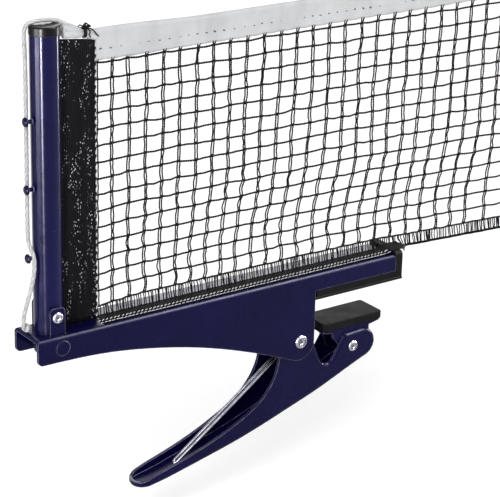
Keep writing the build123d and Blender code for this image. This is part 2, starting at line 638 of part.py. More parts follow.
def make_tape():
    """White tape folded over the cord along the net's top, gathered on top of the sleeve."""
    x0 = SLEEVE_X + 0.2
    x1 = NET_END_X
    section = make_face([
        Polyline((-TAPE_THICK / 2, TAPE_LOW), (TAPE_THICK / 2, TAPE_LOW),
                 (TAPE_THICK / 2, CORD_Z), (-TAPE_THICK / 2, CORD_Z), close=True)])
    bead = Pos(0, CORD_Z) * Circle(TAPE_BEAD_R)
    band = Plane.YZ.offset(x0) * (section + bead)
    tape = extrude(band, amount=x1 - x0, dir=(1, 0, 0))
    left = POST_X + POST_R + 0.7
    low = SLEEVE_TOP + TIE_SEAT
    crest = [(left, NET_TOP + 4.5), (left + 5.2, NET_TOP + 3.3), (left + 8.5, NET_TOP + 1.6),
             (left + 13.0, NET_TOP + 1.3), (x0 + 2, NET_TOP)]
    gathered = side_face([
        Line(p3((x0 + 2, low)), p3((left, low))),
        Line(p3((left, low)), p3(crest[0])),
        Spline(*[p3(q) for q in crest]),
        Line(p3(crest[-1]), p3((x0 + 2, low))),
    ])
    bunch = across(gathered, TAPE_BUNCH)
    bunch = fillet(long_edges(bunch, TAPE_BUNCH / 2, low + 0.5, NET_TOP + 6), 0.8)
    tape = tape + bunch
    return tape - cord_tube(CORD_R + FIT)


def make_sleeve():
    """Ribbed fabric sleeve: round the rod inside the post, out through the slot to the netting."""
    low = WEB_TOP + HEM_CLEAR
    loop_low = EAR_RIVET_Z + EAR_RIVET_R
    band = block(POST_X + ROD_R + FIT + LOOP_WALL / 2, SLEEVE_X, -SLEEVE_THICK / 2, SLEEVE_THICK / 2,
                 loop_low, SLEEVE_TOP)
    foot = block(POST_X + POST_R + 0.5, SLEEVE_X, -SLEEVE_THICK / 2, SLEEVE_THICK / 2, low, loop_low + 1)
    height = SLEEVE_TOP - loop_low
    loop = Pos(POST_X, 0, loop_low + height / 2) * (Cylinder(ROD_R + FIT + LOOP_WALL, height)
                                                    - Cylinder(ROD_R + FIT, height))
    sleeve = band + foot + loop
    sleeve -= Pos(POST_X, 0, loop_low + height / 2) * Cylinder(ROD_R + FIT, height + 2)
    return sleeve


def make_rod():
    low, high = EAR_RIVET_Z + EAR_RIVET_R, SLEEVE_TOP + 1.5
    rod = Pos(POST_X, 0, (low + high) / 2) * Cylinder(ROD_R, high - low)
    return chamfer(rod.edges().filter_by(GeomType.CIRCLE), 0.4)


def make_hem():
    """Stitched lower edge: lies over the web on the arm, hangs free past the jaw."""
    x0, x1 = SLEEVE_X, NET_END_X
    over = WEB_TOP + BUMPER_RISE + 0.1
    free = BUMPER_X + 0.6
    strip = side_face([line_chain([
        (x0, net_low(x0)), (x0, over), (free, over), (free + 1.2, net_low(free) - HEM_DROP + 1.0),
        (free + 3.0, net_low(free) - HEM_DROP + 0.5), (x1, net_low(x1) - HEM_DROP - 1.5), (x1, net_low(x1)),
        (x0, net_low(x0))])])
    hem = across(strip, HEM_THICK)
    low = WEB_TOP + HEM_CLEAR
    h = HEM_THICK / 2
    flap = Plane.YZ.offset(x0) * make_face([Polyline(
        (h, over - 0.1), (h, over + 0.45), (-h, over + 0.45), (-HEM_LIE + 0.4, low + 0.8),
        (-HEM_LIE, low + 0.8), (-HEM_LIE, low), (-HEM_LIE + 1.4, low), close=True)])
    return hem + extrude(flap, amount=JAW_LENGTH - 0.6 - x0, dir=(1, 0, 0))


def make_end_sleeve():
    """Sleeve on the netting's far end, wrapped round its own rod."""
    low, high = net_low(NET_END_X) - HEM_DROP - 1.5, NET_TOP
    rod_x = NET_END_X + END_BAND + END_ROD_R
    height = high - low
    loop = Pos(rod_x, 0, low + height / 2) * Cylinder(END_ROD_R + FIT + LOOP_WALL, height)
    band = block(NET_END_X, rod_x, -SLEEVE_THICK / 2, SLEEVE_THICK / 2, low, high)
    return band + loop - Pos(rod_x, 0, low + height / 2) * Cylinder(END_ROD_R + FIT, height + 2)


def make_end_rod():
    low, high = net_low(NET_END_X) - HEM_DROP - 3.0, NET_TOP + 1.5
    rod = Pos(NET_END_X + END_BAND + END_ROD_R, 0, (low + high) / 2) * Cylinder(END_ROD_R, high - low)
    return chamfer(rod.edges().filter_by(GeomType.CIRCLE), 0.4)


def make_tie():
    """Thread tied round the gathered tape, with a small bow on top."""
    x = SLEEVE_X - 5.2
    r = 0.4
    half = TAPE_BUNCH / 2 + r + 0.05
    low, high = SLEEVE_TOP + TIE_SEAT / 2, NET_TOP + 1.4 + r + 0.1
    middle, rise = (low + high) / 2, high - low
    outer = RectangleRounded(2 * half + 2 * r, rise + 2 * r, 1.0)
    inner = RectangleRounded(2 * half - 2 * r, rise - 2 * r, 0.2)
    ring = extrude(Plane.YZ.offset(x - 0.7) * Pos(0, middle) * (outer - inner), amount=1.4, dir=(1, 0, 0))
    tie = fillet(ring.edges().filter_by(Axis.Z), 0.25)
    knot = Pos(x, 0, high + 0.35) * Sphere(0.95)
    tie = tie + knot
    for s in (1, -1):
        loop = Torus(1.25, r)
        loop = Pos(x + s * 1.75, 0, high + 0.9) * Rot(0, -s * 20, 0) * loop
        tie = tie + loop
    return tie


PARTS = {
    "bracket": make_bracket,
    "upper_jaw_pad": make_pad,
    "post_tube": make_post,
    "post_saddle": make_saddle,
    "post_cap": make_cap,
    "cord_studs": make_studs,
    "ear_rivet": lambda: headed_pin(POST_X, EAR_RIVET_Z, EAR_RIVET_R * 0.6, EAR_OUT, EAR_RIVET_R, 1.2),
    "foot_pin": make_foot_pin,
    "pivot_pin": lambda: headed_pin(PIVOT_X, PIVOT_Z, PIVOT_R, ARM_WIDTH / 2, HEAD_R, HEAD_H),
    "pivot_bush": make_bush,
    "torsion_spring": make_spring,
    "lever": make_lever,
    "jaw_pin": lambda: headed_pin(JAW_PIN_X, JAW_PIN_Z, JAW_PIN_R, LEVER_WIDTH / 2, JAW_HEAD_R, 1.2),
    "jaw_plate": make_jaw_plate,
    "jaw_rubber": make_jaw_rubber,
    "net_cord": make_cord,
    "cord_knot": make_knot,
    "net_mesh": make_mesh,
    "net_tape": make_tape,
    "net_sleeve": make_sleeve,
    "net_rod": make_rod,
    "net_hem": make_hem,
    "net_end_sleeve": make_end_sleeve,
    "net_end_rod": make_end_rod,
    "tape_tie": make_tie,
}


def main():
    for name, make in PARTS.items():
        made = make()
        solids = made if isinstance(made, list) else made.solids()
        shape = Compound(children=list(solids)) if len(solids) > 1 else solids[0]
        shape.label = name
        export_step(shape, "parts/%s.step" % name)


main()
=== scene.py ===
import math
import random

import bpy
import numpy as np
from mathutils import Matrix, Vector


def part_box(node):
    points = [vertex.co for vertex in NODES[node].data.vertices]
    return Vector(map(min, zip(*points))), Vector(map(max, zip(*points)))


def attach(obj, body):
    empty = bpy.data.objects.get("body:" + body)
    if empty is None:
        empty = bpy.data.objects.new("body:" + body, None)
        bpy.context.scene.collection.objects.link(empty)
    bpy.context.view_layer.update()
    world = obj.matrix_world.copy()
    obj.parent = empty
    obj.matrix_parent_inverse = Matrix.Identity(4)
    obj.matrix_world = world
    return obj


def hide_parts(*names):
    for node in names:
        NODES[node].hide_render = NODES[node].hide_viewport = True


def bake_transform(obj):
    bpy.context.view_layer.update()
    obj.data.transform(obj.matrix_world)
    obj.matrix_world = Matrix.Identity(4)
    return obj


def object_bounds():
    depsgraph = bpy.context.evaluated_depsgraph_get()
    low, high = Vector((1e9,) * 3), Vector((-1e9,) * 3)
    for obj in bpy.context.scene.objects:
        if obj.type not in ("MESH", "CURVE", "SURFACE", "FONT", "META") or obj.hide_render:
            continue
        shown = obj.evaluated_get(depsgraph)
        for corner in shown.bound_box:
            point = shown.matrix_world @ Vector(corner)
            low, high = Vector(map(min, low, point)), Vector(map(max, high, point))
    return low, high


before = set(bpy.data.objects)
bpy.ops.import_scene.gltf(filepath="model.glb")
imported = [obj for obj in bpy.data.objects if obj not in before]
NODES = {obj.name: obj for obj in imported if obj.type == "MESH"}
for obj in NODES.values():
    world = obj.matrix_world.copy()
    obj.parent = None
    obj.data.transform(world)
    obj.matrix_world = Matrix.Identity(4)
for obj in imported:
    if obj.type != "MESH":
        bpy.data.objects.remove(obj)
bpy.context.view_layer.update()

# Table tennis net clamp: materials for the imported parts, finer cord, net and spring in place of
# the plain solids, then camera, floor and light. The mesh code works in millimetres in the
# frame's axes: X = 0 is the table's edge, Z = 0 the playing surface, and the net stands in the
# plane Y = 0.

MM = 0.001
scene = bpy.context.scene

# ---- camera -------------------------------------------------------------------------------------

# the photograph's angle, fitted to the part, in radians and metres
AZ, EL, ROLL, AWAY = -0.62411, 0.36197, 0.02290, 1.88833
AIM = Vector((0.46871, 0.69656, -0.29437))
FOCAL_PX, IMAGE_WIDTH, SENSOR = 1993.07, 500, 36.0


def place_camera():
    back = Vector((math.sin(AZ) * math.cos(EL), -math.cos(AZ) * math.cos(EL), math.sin(EL)))
    right = Vector((math.cos(AZ), math.sin(AZ), 0))
    up = back.cross(right)
    c, s = math.cos(ROLL), math.sin(ROLL)
    axes = (right * c + up * s, up * c - right * s, back)
    data = bpy.data.cameras.new("camera")
    data.sensor_width = SENSOR
    data.lens = FOCAL_PX / IMAGE_WIDTH * SENSOR
    data.clip_start, data.clip_end = 0.05, 30.0
    cam = bpy.data.objects.new("camera", data)
    scene.collection.objects.link(cam)
    m = Matrix(axes).transposed().to_4x4()
    m.translation = AIM + back * AWAY
    cam.matrix_world = m
    scene.camera = cam


place_camera()

# ---- mesh helpers -------------------------------------------------------------------------------


class Build:
    """Collects the points, faces and running coordinates of one piece, in millimetres."""

    def __init__(self):
        self.v, self.f, self.uv, self.m = [], [], [], []

    def grid(self, rows, closed=False, uv=None, mat=0, ends=False):
        """Surface through rows of points; closed joins each row's last point to its first.

        uv holds each row's distance along the piece, mat its material's index, and ends closes a
        tube's two openings.
        """
        base, n, count = len(self.v), len(rows[0]), len(rows)
        for row in rows:
            self.v.extend(tuple(p) for p in row)
        span = n if closed else n - 1
        for i in range(count - 1):
            for j in range(span):
                k = (j + 1) % n
                a, b = base + i * n + j, base + i * n + k
                self.f.append((a, b, b + n, a + n))
                self.m.append(mat)
                if uv:
                    u0, u1, w0, w1 = j / span, (j + 1) / span, uv[i], uv[i + 1]
                    self.uv.append(((u0, w0), (u1, w0), (u1, w1), (u0, w1)))
                else:
                    self.uv.append(((0, 0),) * 4)
        if ends:
            for row, flip in ((base, True), (base + (count - 1) * n, False)):
                ring = tuple(row + j for j in range(n))
                self.f.append(ring[::-1] if flip else ring)
                self.m.append(mat)
                self.uv.append(((0, 0),) * n)

    def tube(self, points, radius, sides=6, twist=0.0, lobe=0.0, lobes=2, mat=0):
        """Tube along points; radius is one number or one per point.

        lobe is the share of the radius that its lobes take, and twist their turns per millimetre.
        """
        p = np.array(points, float)
        r = np.full(len(p), radius, float) if np.isscalar(radius) else np.array(radius, float)
        t = np.gradient(p, axis=0)
        t /= np.maximum(np.linalg.norm(t, axis=1, keepdims=True), 1e-9)
        side = np.cross(t[0], (0, 1, 0) if abs(t[0][1]) < 0.8 else (1, 0, 0))
        side /= np.linalg.norm(side)
        run = np.concatenate([[0], np.cumsum(np.linalg.norm(np.diff(p, axis=0), axis=1))])
        rows = []
        for i in range(len(p)):
            side = side - t[i] * side.dot(t[i])
            side /= np.linalg.norm(side)
            other = np.cross(t[i], side)
            turn = 2 * math.pi * run[i] * twist
            row = []
            for j in range(sides):
                a = 2 * math.pi * j / sides
                k = r[i] * (1 - lobe + lobe * abs(math.cos(lobes / 2 * (a - turn))))
                row.append(p[i] + side * (k * math.cos(a)) + other * (k * math.sin(a)))
            rows.append(row)
        self.grid(rows, closed=True, uv=list(run), mat=mat, ends=True)

    def blob(self, centre, size, rings=5, sides=8, wobble=0.0, seed=None):
        """Rounded lump of the given half sizes, made uneven by wobble."""
        rows = []
        for i in range(rings + 1):
            h = -math.cos(math.pi * (i + 0.35) / (rings + 0.7))
            w = math.sqrt(max(0.0, 1 - h * h))
            row = []
            for j in range(sides):
                a = 2 * math.pi * j / sides
                k = 1 + (seed.uniform(-wobble, wobble) if seed else 0)
                row.append((centre[0] + size[0] * w * k * math.cos(a),
                            centre[1] + size[1] * w * k * math.sin(a), centre[2] + size[2] * h))
            rows.append(row)
        self.grid(rows, closed=True, ends=True)

    def piece(self, name, materials, body="clamp"):
        """The collected mesh as an object, in metres, that rides on a body."""
        mesh = bpy.data.meshes.new(name)
        mesh.from_pydata([tuple(c * MM for c in p) for p in self.v], [], self.f)
        layer = mesh.uv_layers.new(name="run")
        layer.data.foreach_set("uv", [c for face in self.uv for q in face for c in q])
        mesh.polygons.foreach_set("material_index", self.m)
        mesh.polygons.foreach_set("use_smooth", [True] * len(self.f))
        for m in materials if isinstance(materials, (list, tuple)) else [materials]:
            mesh.materials.append(m)
        mesh.update()
        obj = bpy.data.objects.new(name, mesh)
        scene.collection.objects.link(obj)
        if body:
            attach(obj, body)
        return obj


def applied(obj, *steps):
    """Runs modifiers given as (type, settings) and leaves their result as the mesh."""
    for kind, settings in steps:
        mod = obj.modifiers.new(kind.lower(), kind)
        for key, value in settings.items():
            setattr(mod, key, value)
    graph = bpy.context.evaluated_depsgraph_get()
    mesh = bpy.data.meshes.new_from_object(obj.evaluated_get(graph), depsgraph=graph)
    obj.modifiers.clear()
    old, obj.data = obj.data, mesh
    bpy.data.meshes.remove(old)
    return obj


def smooth_step(a, b, x):
    t = min(1.0, max(0.0, (x - a) / (b - a)))
    return t * t * (3 - 2 * t)


def lerp(a, b, t):
    return a + (b - a) * t


def through(points, count):
    """Smooth run of points through a few (Catmull-Rom)."""
    p = np.array(points, float)
    p = np.vstack([2 * p[0] - p[1], p, 2 * p[-1] - p[-2]])
    out = []
    for i in range(1, len(p) - 2):
        for k in range(count):
            t = k / count
            a, b, c, d = p[i - 1], p[i], p[i + 1], p[i + 2]
            out.append(0.5 * (2 * b + (c - a) * t + (2 * a - 5 * b + 4 * c - d) * t * t
                              + (3 * b - a - 3 * c + d) * t ** 3))
    out.append(p[-2])
    return out


# ---- materials ----------------------------------------------------------------------------------


class Mat:
    """Node material: a Principled shader and short calls for the nodes before it."""

    def __init__(self, name, **values):
        self.m = bpy.data.materials.new(name)
        self.m.use_nodes = True
        self.t = self.m.node_tree
        self.n = self.t.nodes
        self.s = self.n["Principled BSDF"]
        for key, value in values.items():
            self.s.inputs[key.replace("_", " ")].default_value = value
        self.place = self.n.new("ShaderNodeTexCoord").outputs["Object"]

    def link(self, a, b):
        self.t.links.new(a, b)

    def feed(self, socket, value):
        """Links a node's output to the socket, or sets the socket's own value."""
        if isinstance(value, bpy.types.NodeSocket):
            self.link(value, socket)
        else:
            socket.default_value = value

    def node(self, kind, **inputs):
        n = self.n.new("ShaderNode" + kind)
        for key, value in inputs.items():
            self.feed(n.inputs[key], value)
        return n.outputs[0]

    def coords(self, scale=(1, 1, 1), turn=(0, 0, 0)):
        return self.node("Mapping", Vector=self.place, Scale=scale, Rotation=turn)

    def noise(self, scale, detail=3.0, rough=0.55, vector=None):
        return self.node("TexNoise", Vector=vector or self.place, Scale=scale, Detail=detail,
                         Roughness=rough)

    def waves(self, scale, vector, distort=0.0):
        n = self.n.new("ShaderNodeTexWave")
        n.wave_type, n.bands_direction, n.wave_profile = "BANDS", "X", "SIN"
        for key, value in (("Vector", vector), ("Scale", scale), ("Distortion", distort),
                           ("Detail", 1.0)):
            self.feed(n.inputs[key], value)
        return n.outputs["Fac"]

    def math(self, op, a, b=0.0, clamp=False):
        n = self.n.new("ShaderNodeMath")
        n.operation, n.use_clamp = op, clamp
        self.feed(n.inputs[0], a)
        self.feed(n.inputs[1], b)
        return n.outputs[0]

    def range(self, value, a, b, c, d):
        """A value's span from a to b stretched to run from c to d, and held there."""
        n = self.n.new("ShaderNodeMapRange")
        keys = ("Value", "From Min", "From Max", "To Min", "To Max")
        for key, v in zip(keys, (value, a, b, c, d)):
            self.feed(n.inputs[key], v)
        return n.outputs[0]

    def mix(self, fac, a, b):
        n = self.n.new("ShaderNodeMix")
        n.data_type = "RGBA"
        self.feed(n.inputs[0], fac)
        for socket, colour in ((n.inputs[6], a), (n.inputs[7], b)):
            self.feed(socket, (*colour, 1.0) if isinstance(colour, tuple) else colour)
        return n.outputs[2]

    def bump(self, height, distance, strength=1.0, normal=None):
        n = self.n.new("ShaderNodeBump")
        for key, value in (("Strength", strength), ("Distance", distance), ("Height", height)):
            self.feed(n.inputs[key], value)
        if normal:
            self.link(normal, n.inputs["Normal"])
        return n.outputs[0]

    def edges(self, radius):
        """(rounded normal, how much of an edge is here) from the Bevel node."""
        n = self.n.new("ShaderNodeBevel")
        n.samples = 6
        n.inputs["Radius"].default_value = radius
        geo = self.n.new("ShaderNodeNewGeometry")
        dot = self.n.new("ShaderNodeVectorMath")
        dot.operation = "DOT_PRODUCT"
        self.link(n.outputs[0], dot.inputs[0])
        self.link(geo.outputs["Normal"], dot.inputs[1])
        return n.outputs[0], self.range(dot.outputs["Value"], 0.995, 0.80, 0.0, 1.0)

    def done(self, colour=None, rough=None, normal=None):
        for key, value in (("Base Color", colour), ("Roughness", rough), ("Normal", normal)):
            if value is not None:
                self.link(value, self.s.inputs[key])
        return self.m


def paint(name, dark, light, gloss=0.26, peel=1.0, **shader):
    """Stoved enamel on sheet steel: faint orange peel, soft blotches, and a painted highlight
    along the edges.
    """
    m = Mat(name, **shader)
    round_normal, edge = m.edges(0.00042)
    blotch = m.noise(38.0, 5.0, 0.6)
    fine = m.noise(900.0, 2.0, 0.5)
    grime = m.noise(160.0, 6.0, 0.7)
    base = m.mix(m.range(blotch, 0.35, 0.68, 0.0, 1.0), dark, light)
    base = m.mix(m.math("MULTIPLY", m.range(grime, 0.60, 0.80, 0.0, 1.0), 0.25), base,
                 tuple(2.2 * c for c in light))
    # painted highlight: the edges turn pale lavender, unevenly along their length, and a little
    # rougher
    painted_edge_glint = m.math("MULTIPLY", edge, m.range(m.noise(260.0, 4.0, 0.6), 0.30, 0.62, 0.35, 1.0), True)
    base = m.mix(m.math("MULTIPLY", painted_edge_glint, 0.80), base, (0.46, 0.45, 0.62))
    rough = m.math("ADD", m.range(grime, 0.3, 0.8, gloss - 0.05, gloss + 0.10),
                   m.math("MULTIPLY", painted_edge_glint, 0.08))
    normal = m.bump(fine, 0.00003 * peel, 0.5, round_normal)
    normal = m.bump(m.noise(210.0, 2.0, 0.5), 0.00006 * peel, 0.35, normal)
    return m.done(base, rough, normal)


def rubber(name, dark, light):
    """Moulded rubber: fine grain, dust, and a faint painted highlight along the edges."""
    m = Mat(name, Specular_IOR_Level=0.06)
    round_normal, edge = m.edges(0.0003)
    grain = m.noise(2200.0, 3.0, 0.6)
    dust = m.noise(120.0, 6.0, 0.65)
    base = m.mix(m.range(dust, 0.42, 0.75, 0.0, 1.0), dark, light)
    # painted highlight: the edges are made paler
    base = m.mix(m.math("MULTIPLY", edge, 0.35), base, tuple(2.4 * c for c in light))
    normal = m.bump(grain, 0.00006, 0.5, round_normal)
    return m.done(base, m.range(dust, 0.3, 0.8, 0.52, 0.72), normal)


def metal(name, colour, dull, rough, streak=(1, 1, 1), scratch=0.5, rings=False):
    """Bare or plated metal, painted highlight on its edges; rings draws a rivet head's groove and
    hollow round the part's Y, with painted shade in them.
    """
    m = Mat(name, Metallic=1.0)
    round_normal, edge = m.edges(0.00025)
    cloud = m.noise(300.0, 5.0, 0.6)
    lines = m.noise(1500.0, 4.0, 0.65, m.coords(streak))
    base = m.mix(m.range(cloud, 0.35, 0.75, 0.0, 1.0), colour, dull)
    # painted highlight: the edges are made brighter
    base = m.mix(m.math("MULTIPLY", edge, 0.4), base, tuple(min(0.95, 1.25 * c) for c in colour))
    if rings:
        parts = m.n.new("ShaderNodeSeparateXYZ")
        m.link(m.n.new("ShaderNodeTexCoord").outputs["Generated"], parts.inputs[0])
        away = [m.math("POWER", m.math("SUBTRACT", parts.outputs[k], 0.5), 2.0) for k in (0, 2)]
        away = m.math("SQRT", m.math("ADD", *away))
        from_groove = m.math("ABSOLUTE", m.math("SUBTRACT", away, 0.27))
        groove = m.range(from_groove, 0.02, 0.07, 1.0, 0.0)
        hollow = m.range(away, 0.07, 0.13, 1.0, 0.0)
        dip_with_painted_shade = m.math("MAXIMUM", groove, hollow)
        # painted shade: the rivet head's groove and hollow are darkened, as well as dented by the
        # bump below
        base = m.mix(m.math("MULTIPLY", dip_with_painted_shade, 0.85), base, (0.035, 0.033, 0.05))
        round_normal = m.bump(dip_with_painted_shade, -0.0004, 0.8, round_normal)
    r = m.math("ADD", m.range(lines, 0.3, 0.7, rough - 0.07, rough + 0.10),
               m.range(cloud, 0.4, 0.8, 0.0, 0.10), True)
    return m.done(base, r, m.bump(lines, 0.00003, scratch, round_normal))


def plastic(name, dark, light):
    """Moulded plastic with a soft shine and a warm painted highlight along its edges."""
    m = Mat(name, Specular_IOR_Level=0.10)
    round_normal, edge = m.edges(0.0004)
    cloud = m.noise(90.0, 4.0, 0.6)
    base = m.mix(m.range(cloud, 0.35, 0.7, 0.0, 1.0), dark, light)
    # painted highlight: the edges are tinted warm brown
    base = m.mix(m.math("MULTIPLY", edge, 0.3), base, (0.05, 0.035, 0.028))
    normal = m.bump(m.noise(1300.0, 2.0, 0.5), 0.00002, 0.4, round_normal)
    return m.done(base, m.range(cloud, 0.3, 0.8, 0.24, 0.36), normal)


def strand(name, dark, light, rough=0.55, pitch=0.9, plies=2.0, depth=0.00012, sheen=0.0,
           level=0.3):
    """Twisted thread: plies wind round the strand along its run (uv: turn, millimetres); painted
    shade darkens the grooves between them.
    """
    m = Mat(name, Sheen_Weight=sheen, Sheen_Roughness=0.4, Specular_IOR_Level=level)
    uv = m.node("UVMap")
    parts = m.n.new("ShaderNodeSeparateXYZ")
    m.link(uv, parts.inputs[0])
    phase = m.math("ADD", m.math("MULTIPLY", parts.outputs[0], plies),
                   m.math("MULTIPLY", parts.outputs[1], 1.0 / pitch))
    ply = m.math("ABSOLUTE", m.math("SINE", m.math("MULTIPLY", phase, math.pi)))
    fuzz = m.noise(4200.0, 3.0, 0.6)
    tone = m.noise(420.0, 4.0, 0.6)
    base = m.mix(m.range(tone, 0.38, 0.72, 0.0, 1.0), dark, light)
    # painted shade: the grooves between the plies are darkened
    base = m.mix(m.math("MULTIPLY", m.range(ply, 0.0, 0.40, 1.0, 0.0), 0.65), base,
                 tuple(0.40 * c for c in dark))
    height = m.math("ADD", ply, m.math("MULTIPLY", fuzz, 0.35))
    return m.done(base, m.range(tone, 0.3, 0.8, rough - 0.08, rough + 0.12),
                  m.bump(height, depth, 0.9))


def cloth(name, dark, light, pitch=0.00055, rough=0.8, depth=0.00010, sheen=0.25, level=0.2,
          fleck=None, grid=0.30, streak=0.0):
    """Plain weave in the XZ plane, threads a pitch apart, with slubs and uneven tone.

    grid is how dark the painted shade in the gaps between threads is, streak how strong the
    painted shade of its upright wrinkles, and fleck the colour of the pale loops that show
    through.
    """
    m = Mat(name, Sheen_Weight=sheen, Sheen_Roughness=0.45, Specular_IOR_Level=level)
    k = 0.5 / pitch / math.pi * 0.999       # a band of the wave node for each thread
    warp = m.waves(k, m.coords(), 0.6)
    weft = m.waves(k, m.coords(turn=(0, math.pi / 2, 0)), 0.6)
    mesh = m.math("MULTIPLY", warp, weft)
    slub = m.noise(700.0, 4.0, 0.6, m.coords((0.25, 1, 1)))
    tone = m.noise(60.0, 5.0, 0.6)
    base = m.mix(m.range(tone, 0.34, 0.70, 0.0, 1.0), dark, light)
    # painted shade: the gaps between threads are darkened by grid
    base = m.mix(m.math("MULTIPLY", m.range(mesh, 0.0, 0.25, 1.0, 0.0), grid), base,
                 tuple(0.72 * c for c in dark))
    # painted shade: upright bluish-grey bands where the cloth wrinkles, as strong as streak
    if streak:
        band = m.noise(95.0, 3.0, 0.6, m.coords((1.0, 1.0, 0.12)))
        base = m.mix(m.math("MULTIPLY", m.range(band, 0.46, 0.70, 0.0, 1.0), streak), base,
                     (0.40, 0.41, 0.45))
    height = m.math("ADD", mesh, m.math("MULTIPLY", slub, 0.8))
    if fleck:
        cells = m.n.new("ShaderNodeTexVoronoi")
        cells.inputs["Scale"].default_value = 1050.0
        m.link(m.coords((1.2, 0.2, 0.62)), cells.inputs["Vector"])
        pick = m.noise(110.0, 3.0, 0.6, m.coords((1.7, 0.2, 0.35)))
        spot = m.math("MULTIPLY", m.range(cells.outputs["Distance"], 0.17, 0.27, 1.0, 0.0),
                      m.range(pick, 0.50, 0.56, 0.0, 1.0), True)
        base = m.mix(spot, base, fleck)
    return m.done(base, m.range(slub, 0.3, 0.7, rough - 0.1, min(1.0, rough + 0.1)),
                  m.bump(height, depth, 0.8))


LAVENDER = (0.80, 0.79, 1.0, 1.0)       # the navy paint's highlights
NAVY = paint("navy_paint", (0.0014, 0.0010, 0.0265), (0.0030, 0.0024, 0.0400), 0.27, 1.0,
             Specular_IOR_Level=0.10, Specular_Tint=LAVENDER)
TUBE = paint("tube_paint", (0.0016, 0.0014, 0.0350), (0.0032, 0.0029, 0.0520), 0.21, 0.4,
             Specular_IOR_Level=0.16, Specular_Tint=LAVENDER, Anisotropic=0.70,
             Anisotropic_Rotation=0.25)
PAD = rubber("pad_rubber", (0.0030, 0.0026, 0.0034), (0.0066, 0.0056, 0.0066))
CAP = plastic("cap_plastic", (0.0030, 0.0022, 0.0034), (0.0065, 0.0048, 0.0070))
ZINC = metal("zinc_plate", (0.42, 0.41, 0.47), (0.17, 0.16, 0.20), 0.25, (1, 0.15, 1), rings=True)
STEEL = metal("spring_wire", (0.34, 0.34, 0.39), (0.13, 0.13, 0.17), 0.20, (0.1, 1, 0.1), 0.3)
ROD = metal("rod_steel", (0.55, 0.55, 0.56), (0.36, 0.35, 0.35), 0.34, (1, 1, 0.1))
CORD = strand("cord_white", (0.54, 0.54, 0.555), (0.76, 0.76, 0.77), 0.66, -3.4, 3.0, 0.00036,
              0.1, 0.15)
# TAPE's grid and streak set its painted shade in the weave's gaps and along its wrinkles
TAPE = cloth("tape_cloth", (0.545, 0.55, 0.56), (0.635, 0.64, 0.65), 0.0006, 0.85, 0.00008,
             0.12, 0.10, grid=0.12, streak=0.30)
NET = strand("net_black", (0.0014, 0.0014, 0.0020), (0.0048, 0.0048, 0.0064), 0.42, -1.33, 2.0,
             0.00012, 0.0, 0.06)
THREAD = strand("thread_black", (0.0016, 0.0016, 0.0022), (0.0052, 0.0052, 0.0066), 0.5, 1.0, 2.0,
                0.0001, 0.0, 0.06)
STITCH = strand("thread_white", (0.70, 0.70, 0.71), (0.84, 0.84, 0.85), 0.6, 0.8, 2.0, 0.0001, 0.1)
SLEEVE = cloth("sleeve_cloth", (0.0020, 0.0019, 0.0032), (0.0046, 0.0044, 0.0066), 0.0005, 0.62,
               0.0001, 0.0, 0.04, fleck=(0.70, 0.70, 0.73))
BAND = cloth("hem_cloth", (0.0018, 0.0018, 0.0026), (0.0046, 0.0046, 0.0060), 0.0006, 0.66,
             0.00012, 0.0, 0.05)


def around_post(material):
    """Turns the paint's stretched gloss about the post's length."""
    t = material.node_tree
    turn = t.nodes.new("ShaderNodeTangent")
    turn.direction_type, turn.axis = "RADIAL", "Z"
    t.links.new(turn.outputs[0], t.nodes["Principled BSDF"].inputs["Tangent"])


around_post(TUBE)


for names, material, slot in (
        (("bracket", "lever", "jaw_plate", "post_saddle", "foot_pin", "cord_studs"),
         NAVY, "navy_paint"),
        (("post_tube",), TUBE, "navy_paint"),
        (("upper_jaw_pad", "jaw_rubber"), PAD, "pad_rubber"),
        (("post_cap",), CAP, "cap_plastic"),
        (("ear_rivet", "pivot_pin", "jaw_pin"), ZINC, "zinc"),
        (("pivot_bush",), STEEL, "spring_steel"),
        (("net_rod", "net_end_rod"), ROD, "rod_steel")):
    for name in names:
        for holder in NODES[name].material_slots:
            holder.material = material

# ---- cord ---------------------------------------------------------------------------------------

CORD_LAY = 10.2             # the run in which its three strands turn once
KNOT_SIZE = 0.4836
ROUTE = [                   # the cord's route as the CAD has it, in metres
    (0.1330, 0.0000, 0.14950),
    (-0.0550, 0.0000, 0.14950),
    (-0.0850, 0.0000, 0.14990),
    (-0.1120, 0.0000, 0.15075),
    (-0.1280, 0.0000, 0.15085),
    (-0.13775, 0.0003, 0.15860),
    (-0.1500, 0.0019, 0.15915),
    (-0.15480, 0.0024, 0.15680),
    (-0.15395, 0.0024, 0.14500),
    (-0.15425, 0.0024, 0.09280),
    (-0.15440, 0.0025, 0.06300),
    (-0.15430, 0.0022, 0.05650),
    (-0.15400, -0.0024, 0.05250),
    (-0.15390, -0.0026, 0.04550),
    (-0.15490, -0.0012, 0.03640),
    (-0.1585, 0.0006, 0.02250),
    (-0.1580, 0.0012, 0.01530),
    (-0.1551, 0.0026, 0.01505),
]


def route_points():
    """The points of the route's own smooth line."""
    curve = bpy.data.curves.new("route", "CURVE")
    curve.dimensions = "3D"
    curve.resolution_u = 128
    spline = curve.splines.new("NURBS")
    spline.points.add(len(ROUTE) - 1)
    for point, at in zip(spline.points, ROUTE):
        point.co = (*at, 1.0)
    spline.order_u = 3
    spline.use_endpoint_u = True
    holder = bpy.data.objects.new("route", curve)
    scene.collection.objects.link(holder)
    graph = bpy.context.evaluated_depsgraph_get()
    mesh = bpy.data.meshes.new_from_object(holder.evaluated_get(graph), depsgraph=graph)
    points = np.array([v.co for v in mesh.vertices])
    bpy.data.objects.remove(holder)
    bpy.data.meshes.remove(mesh)
    return points


line = route_points()
cord = Build()
cord.tube(line / MM, 0.99, sides=20, twist=1 / CORD_LAY, lobe=0.16, lobes=3)
cord = cord.piece("white_cord", CORD)

